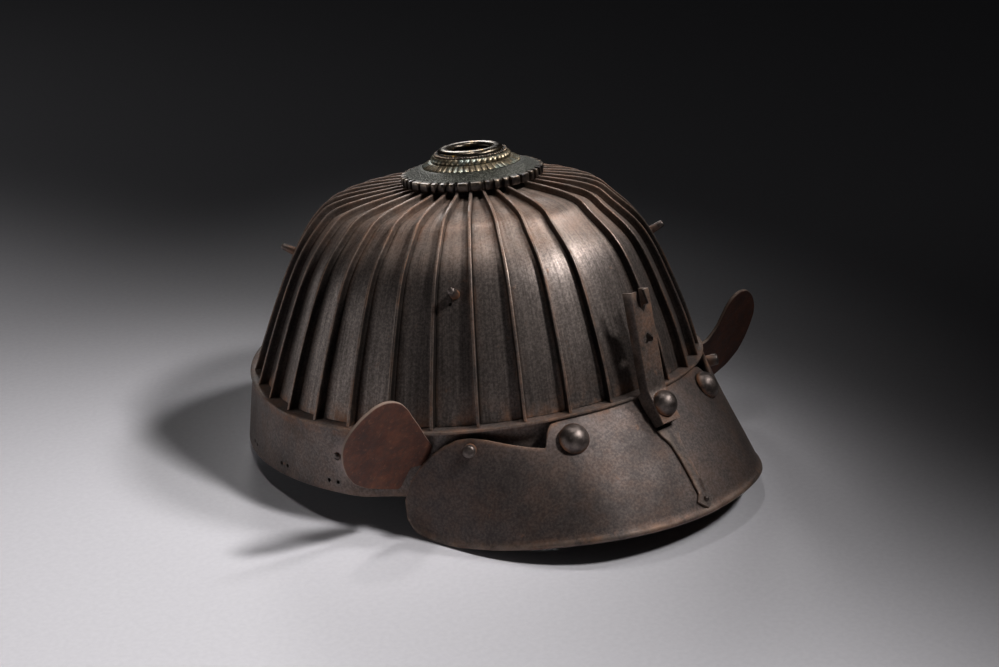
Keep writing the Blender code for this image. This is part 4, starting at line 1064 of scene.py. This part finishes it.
def build_crown():
    build_crown_base()
    level = GAP + BASE_HEIGHT + DISH_RISE + GAP
    gilt_ring("crown_petals", PETAL_COUNT, level, PETAL_HEIGHT, BASE_BORE_RADIUS, petal_shape)
    rope_level = level + PETAL_HEIGHT + GAP
    gilt_ring("crown_rope", ROPE_COUNT, rope_level, ROPE_HEIGHT, ROPE_BORE_RADIUS, rope_shape)

    collar_level = rope_level + ROPE_HEIGHT + GAP
    seat_level = collar_level - COLLAR_SEAT
    seat_radius = TORUS_CENTRE_RADIUS + TORUS_HALF_WIDTH + GAP
    foot_radius = ROPE_BORE_RADIUS - GAP
    lip = collar_level + COLLAR_LIP
    even = np.arange(0, 360, 2.5)
    parts = [ring(even, [
        (COLLAR_HOLE_RADIUS, rope_level), (COLLAR_HOLE_RADIUS, seat_level), (seat_radius, seat_level),
        (seat_radius, lip - 0.12), (seat_radius + 0.12, lip), (foot_radius - 0.1, lip - 0.02),
        (foot_radius + 0.15, collar_level + 0.35), (COLLAR_RADIUS - 0.05, collar_level + 0.1),
        (COLLAR_RADIUS, collar_level), (foot_radius, collar_level), (foot_radius, rope_level)])]
    ball = [(BEAD_RADIUS * sin(t), -BEAD_RADIUS * cos(t)) for t in np.linspace(0.5, 2.64, 5)]
    ball = [(0, -BEAD_RADIUS)] + ball + [(0, BEAD_RADIUS)]
    centre, axis, side, ahead = crown_axes()
    for i in range(BEAD_COUNT):
        turn = 2 * pi * i / BEAD_COUNT
        way = ahead * cos(turn) - side * sin(turn)
        place = centre + way * (COLLAR_RADIUS - 0.1) + axis * (collar_level + 0.25)
        parts.append(turned(place, axis, ball, 8))
    mesh = join(parts)
    beads = np.arange(len(mesh[0])) >= len(parts[0][0])
    put("crown_collar", "crown_dark", mesh, {"edge": 1 * beads, "dish": 0.35 * ~beads}, 60)

    ring_level = seat_level + GAP + TORUS_HALF_HEIGHT
    torus = [(TORUS_CENTRE_RADIUS + TORUS_HALF_WIDTH * cos(t), ring_level + TORUS_HALF_HEIGHT * sin(t))
             for t in np.linspace(0, 2 * pi, 28, endpoint=False)]
    put("crown_torus", "crown_bronze", ring(even, torus))


def build_pins(plates):
    ridges = ridge_angles()
    radius = PIN_DIAMETER / 2
    tip = PIN_TIP_DIAMETER / 2
    profile = [(0, 0), (radius, 0), (radius * 0.99, 0.4), (tip * 1.04, PIN_LENGTH - 1.4),
               (tip, PIN_LENGTH - 0.8), (tip * 0.9, PIN_LENGTH - 0.35), (tip * 0.6, PIN_LENGTH - 0.1),
               (0, PIN_LENGTH)]
    for side, name in SIDES:
        for place, (pin_angle, share) in PINS.items():
            index = max(i for i, ridge in enumerate(ridges) if ridge < pin_angle)
            angle = side * (ridges[index] + ridges[index + 1]) / 2
            point, normal, around, up = bowl_frame(angle, share)
            depth = ridge_height(share)
            stud(f"pin_{place}_{name}", point - normal * (depth - GAP), normal, profile, 28, 0.3, 2)
            rearward = unit(around) * side
            hole = point - up * PIN_HOLE_DROP + rearward * PIN_HOLE_BACK - normal * depth
            bore(plates[f"plate_{name}_{index + 1:02d}"], [drill(hole, normal, PIN_HOLE_RADIUS)])


def build_fittings():
    radius = PEG_DIAMETER / 2
    profile = [(0, 0), (radius, 0), (radius, PEG_LENGTH - 1.3), (radius * 0.96, PEG_LENGTH - 0.7),
               (radius * 0.8, PEG_LENGTH - 0.25), (radius * 0.5, PEG_LENGTH - 0.05), (0, PEG_LENGTH)]
    for side, name in SIDES:
        angle = side * RIVET_ANGLE
        seat = visor_point(angle, -RIVET_DEPTH, SEAT_GAP)
        rivet(f"rivet_{name}", seat, visor_normal(angle), RIVET_DIAMETER, RIVET_HEIGHT)
        angle, depth = PEGS[name]
        stud(f"peg_{name}", visor_point(angle, -depth, SEAT_GAP), visor_normal(angle), profile, 28, 0.3, 2)
        angle = side * EAR_RIVET_ANGLE
        seat = band_wall_point(angle, -EAR_RIVET_DEPTH, GAP)
        rivet(f"ear_rivet_{name}", seat, rim_normal(angle), 3.6, 1.2, 20, 5)
    path, _, foot_way = holder_path()
    foot_normal = unit(np.cross(foot_way, [1, 0, 0]))
    foot_normal = foot_normal if foot_normal[2] > 0 else -foot_normal
    bend = np.array([0, -BOWL_FRONT - HOLDER_BEND[0], HOLDER_BEND[1]])
    seat = bend + (path[-1] - bend) * HOLDER_RIVET_PLACE + foot_normal * GAP
    rivet("rivet_holder", seat, foot_normal, HOLDER_RIVET_DIAMETER, RIVET_HEIGHT)
    seat = visor_point(0, -TAIL_RIVET_DEPTH, TAIL_THICKNESS + 2 * GAP)
    rivet("tail_rivet", seat, visor_normal(0), 2.6, 1, 20, 5)


def ear_outline(side, root_reach):
    leaf = EAR_OUTLINE if side > 0 else EAR_OUTLINE_LEFT
    return [(0, EAR_ROOT_FOOT - EAR_ROOT_SLANT), (-root_reach, EAR_ROOT_FOOT),
            (-root_reach, EAR_ROOT_HEAD)] + leaf[1:] + leaf[:1]


def build_ears():
    top = rim_point(EAR_ROOT_ANGLE_TOP, EAR_OFF_BAND) - UP * EAR_ROOT_DROP
    foot = rim_point(EAR_ROOT_ANGLE_FOOT, EAR_OFF_BAND) - UP * (EAR_ROOT_DROP + EAR_ROOT_HEIGHT)
    up = unit(top - foot)
    out = np.array([-1, 0, 0])
    out = unit(out - up * float(out @ up))
    out = unit(out * cos(EAR_SWING) + np.cross(up, out) * sin(EAR_SWING))
    normal = unit(np.cross(out, up))
    half = EAR_THICKNESS / 2
    wall_way = rim_normal((EAR_ROOT_ANGLE_TOP + EAR_ROOT_ANGLE_FOOT) / 2)
    across = half * abs(float(normal @ wall_way))
    root_reach = (EAR_OFF_BAND - BAND_WALL_FRONT - GAP - across) / float(out @ wall_way)
    for side, name in SIDES:
        outline = rounded(ear_outline(side, root_reach), 2.2, 4)
        middle = np.mean(outline, axis=0)
        rows = []
        edges = []
        for depth, inset, edge in ((-1, 0.35, 0), (-0.55, 0.05, 1), (0.55, 0.05, 1), (1, 0.35, 0)):
            row = []
            for point in outline:
                step = point - middle
                a, b = middle + step * (1 - inset / norm(step))
                row.append((foot + out * a + up * b + normal * half * depth) * [side, 1, 1])
            rows.append(row)
            edges += [edge] * len(row)
        put(f"ear_plate_{name}", "rust_iron", skin(rows), {"edge": edges}, 30, "ear_rust")


# Stage, light and camera

def add_light(name, kind, place, aim, power, **settings):
    """A lamp turned to its aim."""
    data = bpy.data.lights.new(name, kind)
    data.energy = power
    for key, value in settings.items():
        setattr(data, key, value)
    obj = add_object(name, data)
    obj.location = place
    obj.rotation_euler = (place - aim).to_track_quat("Z", "Y").to_euler()


# Lamps: place and aim as across, towards the camera and up, in metres; radius, cone in degrees, watts
LAMPS = {
    "key": ((0.72, 0.35, 1.04), (-0.88, 0.7, 0), 0.09, 80, 134, (1, 0.98, 0.96)),
    "top": ((0.72, -0.12, 0.97), (0.02, 0, 0.135), 0.13, 12.5, 60, (1, 0.98, 0.97)),
    "crown": ((-0.1, -0.16, 1.2), (-0.01, 0, 0.14), 0.1, 8.5, 40, (1, 0.97, 0.95)),
    "rear": ((-0.15, -1.1, 0.6), (0, 0, 0.14), 0.2, 18, 24, (1, 0.98, 0.97)),
}
# The soft box on the left: place, aim, width, height, watts
SOFT_BOX = ((-1.12, 0.05, 0.16), (0, 0, 0.12), 1.4, 0.18, 1.7)
FILL = 0.003

CAMERA_TURN = radians(-43.709)
CAMERA_RISE = radians(21.249)
CAMERA_DISTANCE = 923.9
CAMERA_FOCAL = 2006.25  # in pixels
PICTURE_WIDTH = 999
CAMERA_SHIFT = (-12.77, -8.54)  # the helmet's origin in the picture's plane, mm


def camera_axes():
    level = cos(CAMERA_RISE)
    back = Vector((sin(CAMERA_TURN) * level, -cos(CAMERA_TURN) * level, sin(CAMERA_RISE)))
    right = Vector((cos(CAMERA_TURN), sin(CAMERA_TURN), 0))
    return right, back.cross(right), back


def in_view(across, near, height):
    """A place in the row's frame from metres across the picture, towards the camera and up."""
    right, _, back = camera_axes()
    return right * across + Vector((back.x, back.y, 0)).normalized() * near + Vector((0, 0, height))


def build_stage():
    corners = [in_view(across, near, 0) for near, across in ((4, -6), (4, 6), (-9, 6), (-9, -6))]
    mesh = bpy.data.meshes.new("floor")
    mesh.from_pydata([tuple(corner) for corner in corners], [], [(0, 1, 2, 3)])
    n = Nodes("floor", 0, 0.62)
    grain = n.noise(420, 2, 0.5)
    n.colour(n.mix(n.band(grain, 0.3, 0.7), (0.6, 0.59, 0.63), (0.64, 0.63, 0.67)))
    mesh.materials.append(n.material)
    add_object("floor", mesh)


def build_camera():
    data = bpy.data.cameras.new("camera")
    data.sensor_width = 36
    data.lens = CAMERA_FOCAL / PICTURE_WIDTH * data.sensor_width
    data.clip_start = 0.05
    data.clip_end = 50
    camera = add_object("camera", data)
    right, up, back = camera_axes()
    away_by = back * CAMERA_DISTANCE - right * CAMERA_SHIFT[0] - up * CAMERA_SHIFT[1]
    turn = Matrix((right, up, back)).transposed().to_4x4()
    camera.matrix_world = Matrix.Translation(away_by * MM + PLACE) @ turn
    bpy.context.scene.camera = camera


def build_light():
    for name, (where, aim, radius, cone, power, colour) in LAMPS.items():
        add_light(name, "SPOT", in_view(*where), in_view(*aim), power, shadow_soft_size=radius,
                  spot_size=radians(cone), spot_blend=1, color=colour)
    where, aim, width, height, power = SOFT_BOX
    add_light("soft_left", "AREA", in_view(*where), in_view(*aim), power, shape="RECTANGLE", size=width,
              size_y=height)
    world = bpy.data.worlds.new("world")
    bpy.context.scene.world = world
    world.use_nodes = True
    sky = world.node_tree.nodes["Background"].inputs
    sky["Color"].default_value = (0.92, 0.93, 1, 1)
    sky["Strength"].default_value = FILL
    bpy.context.scene.view_settings.view_transform = "Standard"


def main():
    make_materials()
    plates = build_plates()
    build_band()
    build_visor()
    build_crown()
    build_pins(plates)
    build_holder()
    build_tail()
    build_fittings()
    build_ears()
    build_camera()
    build_stage()
    build_light()


main()
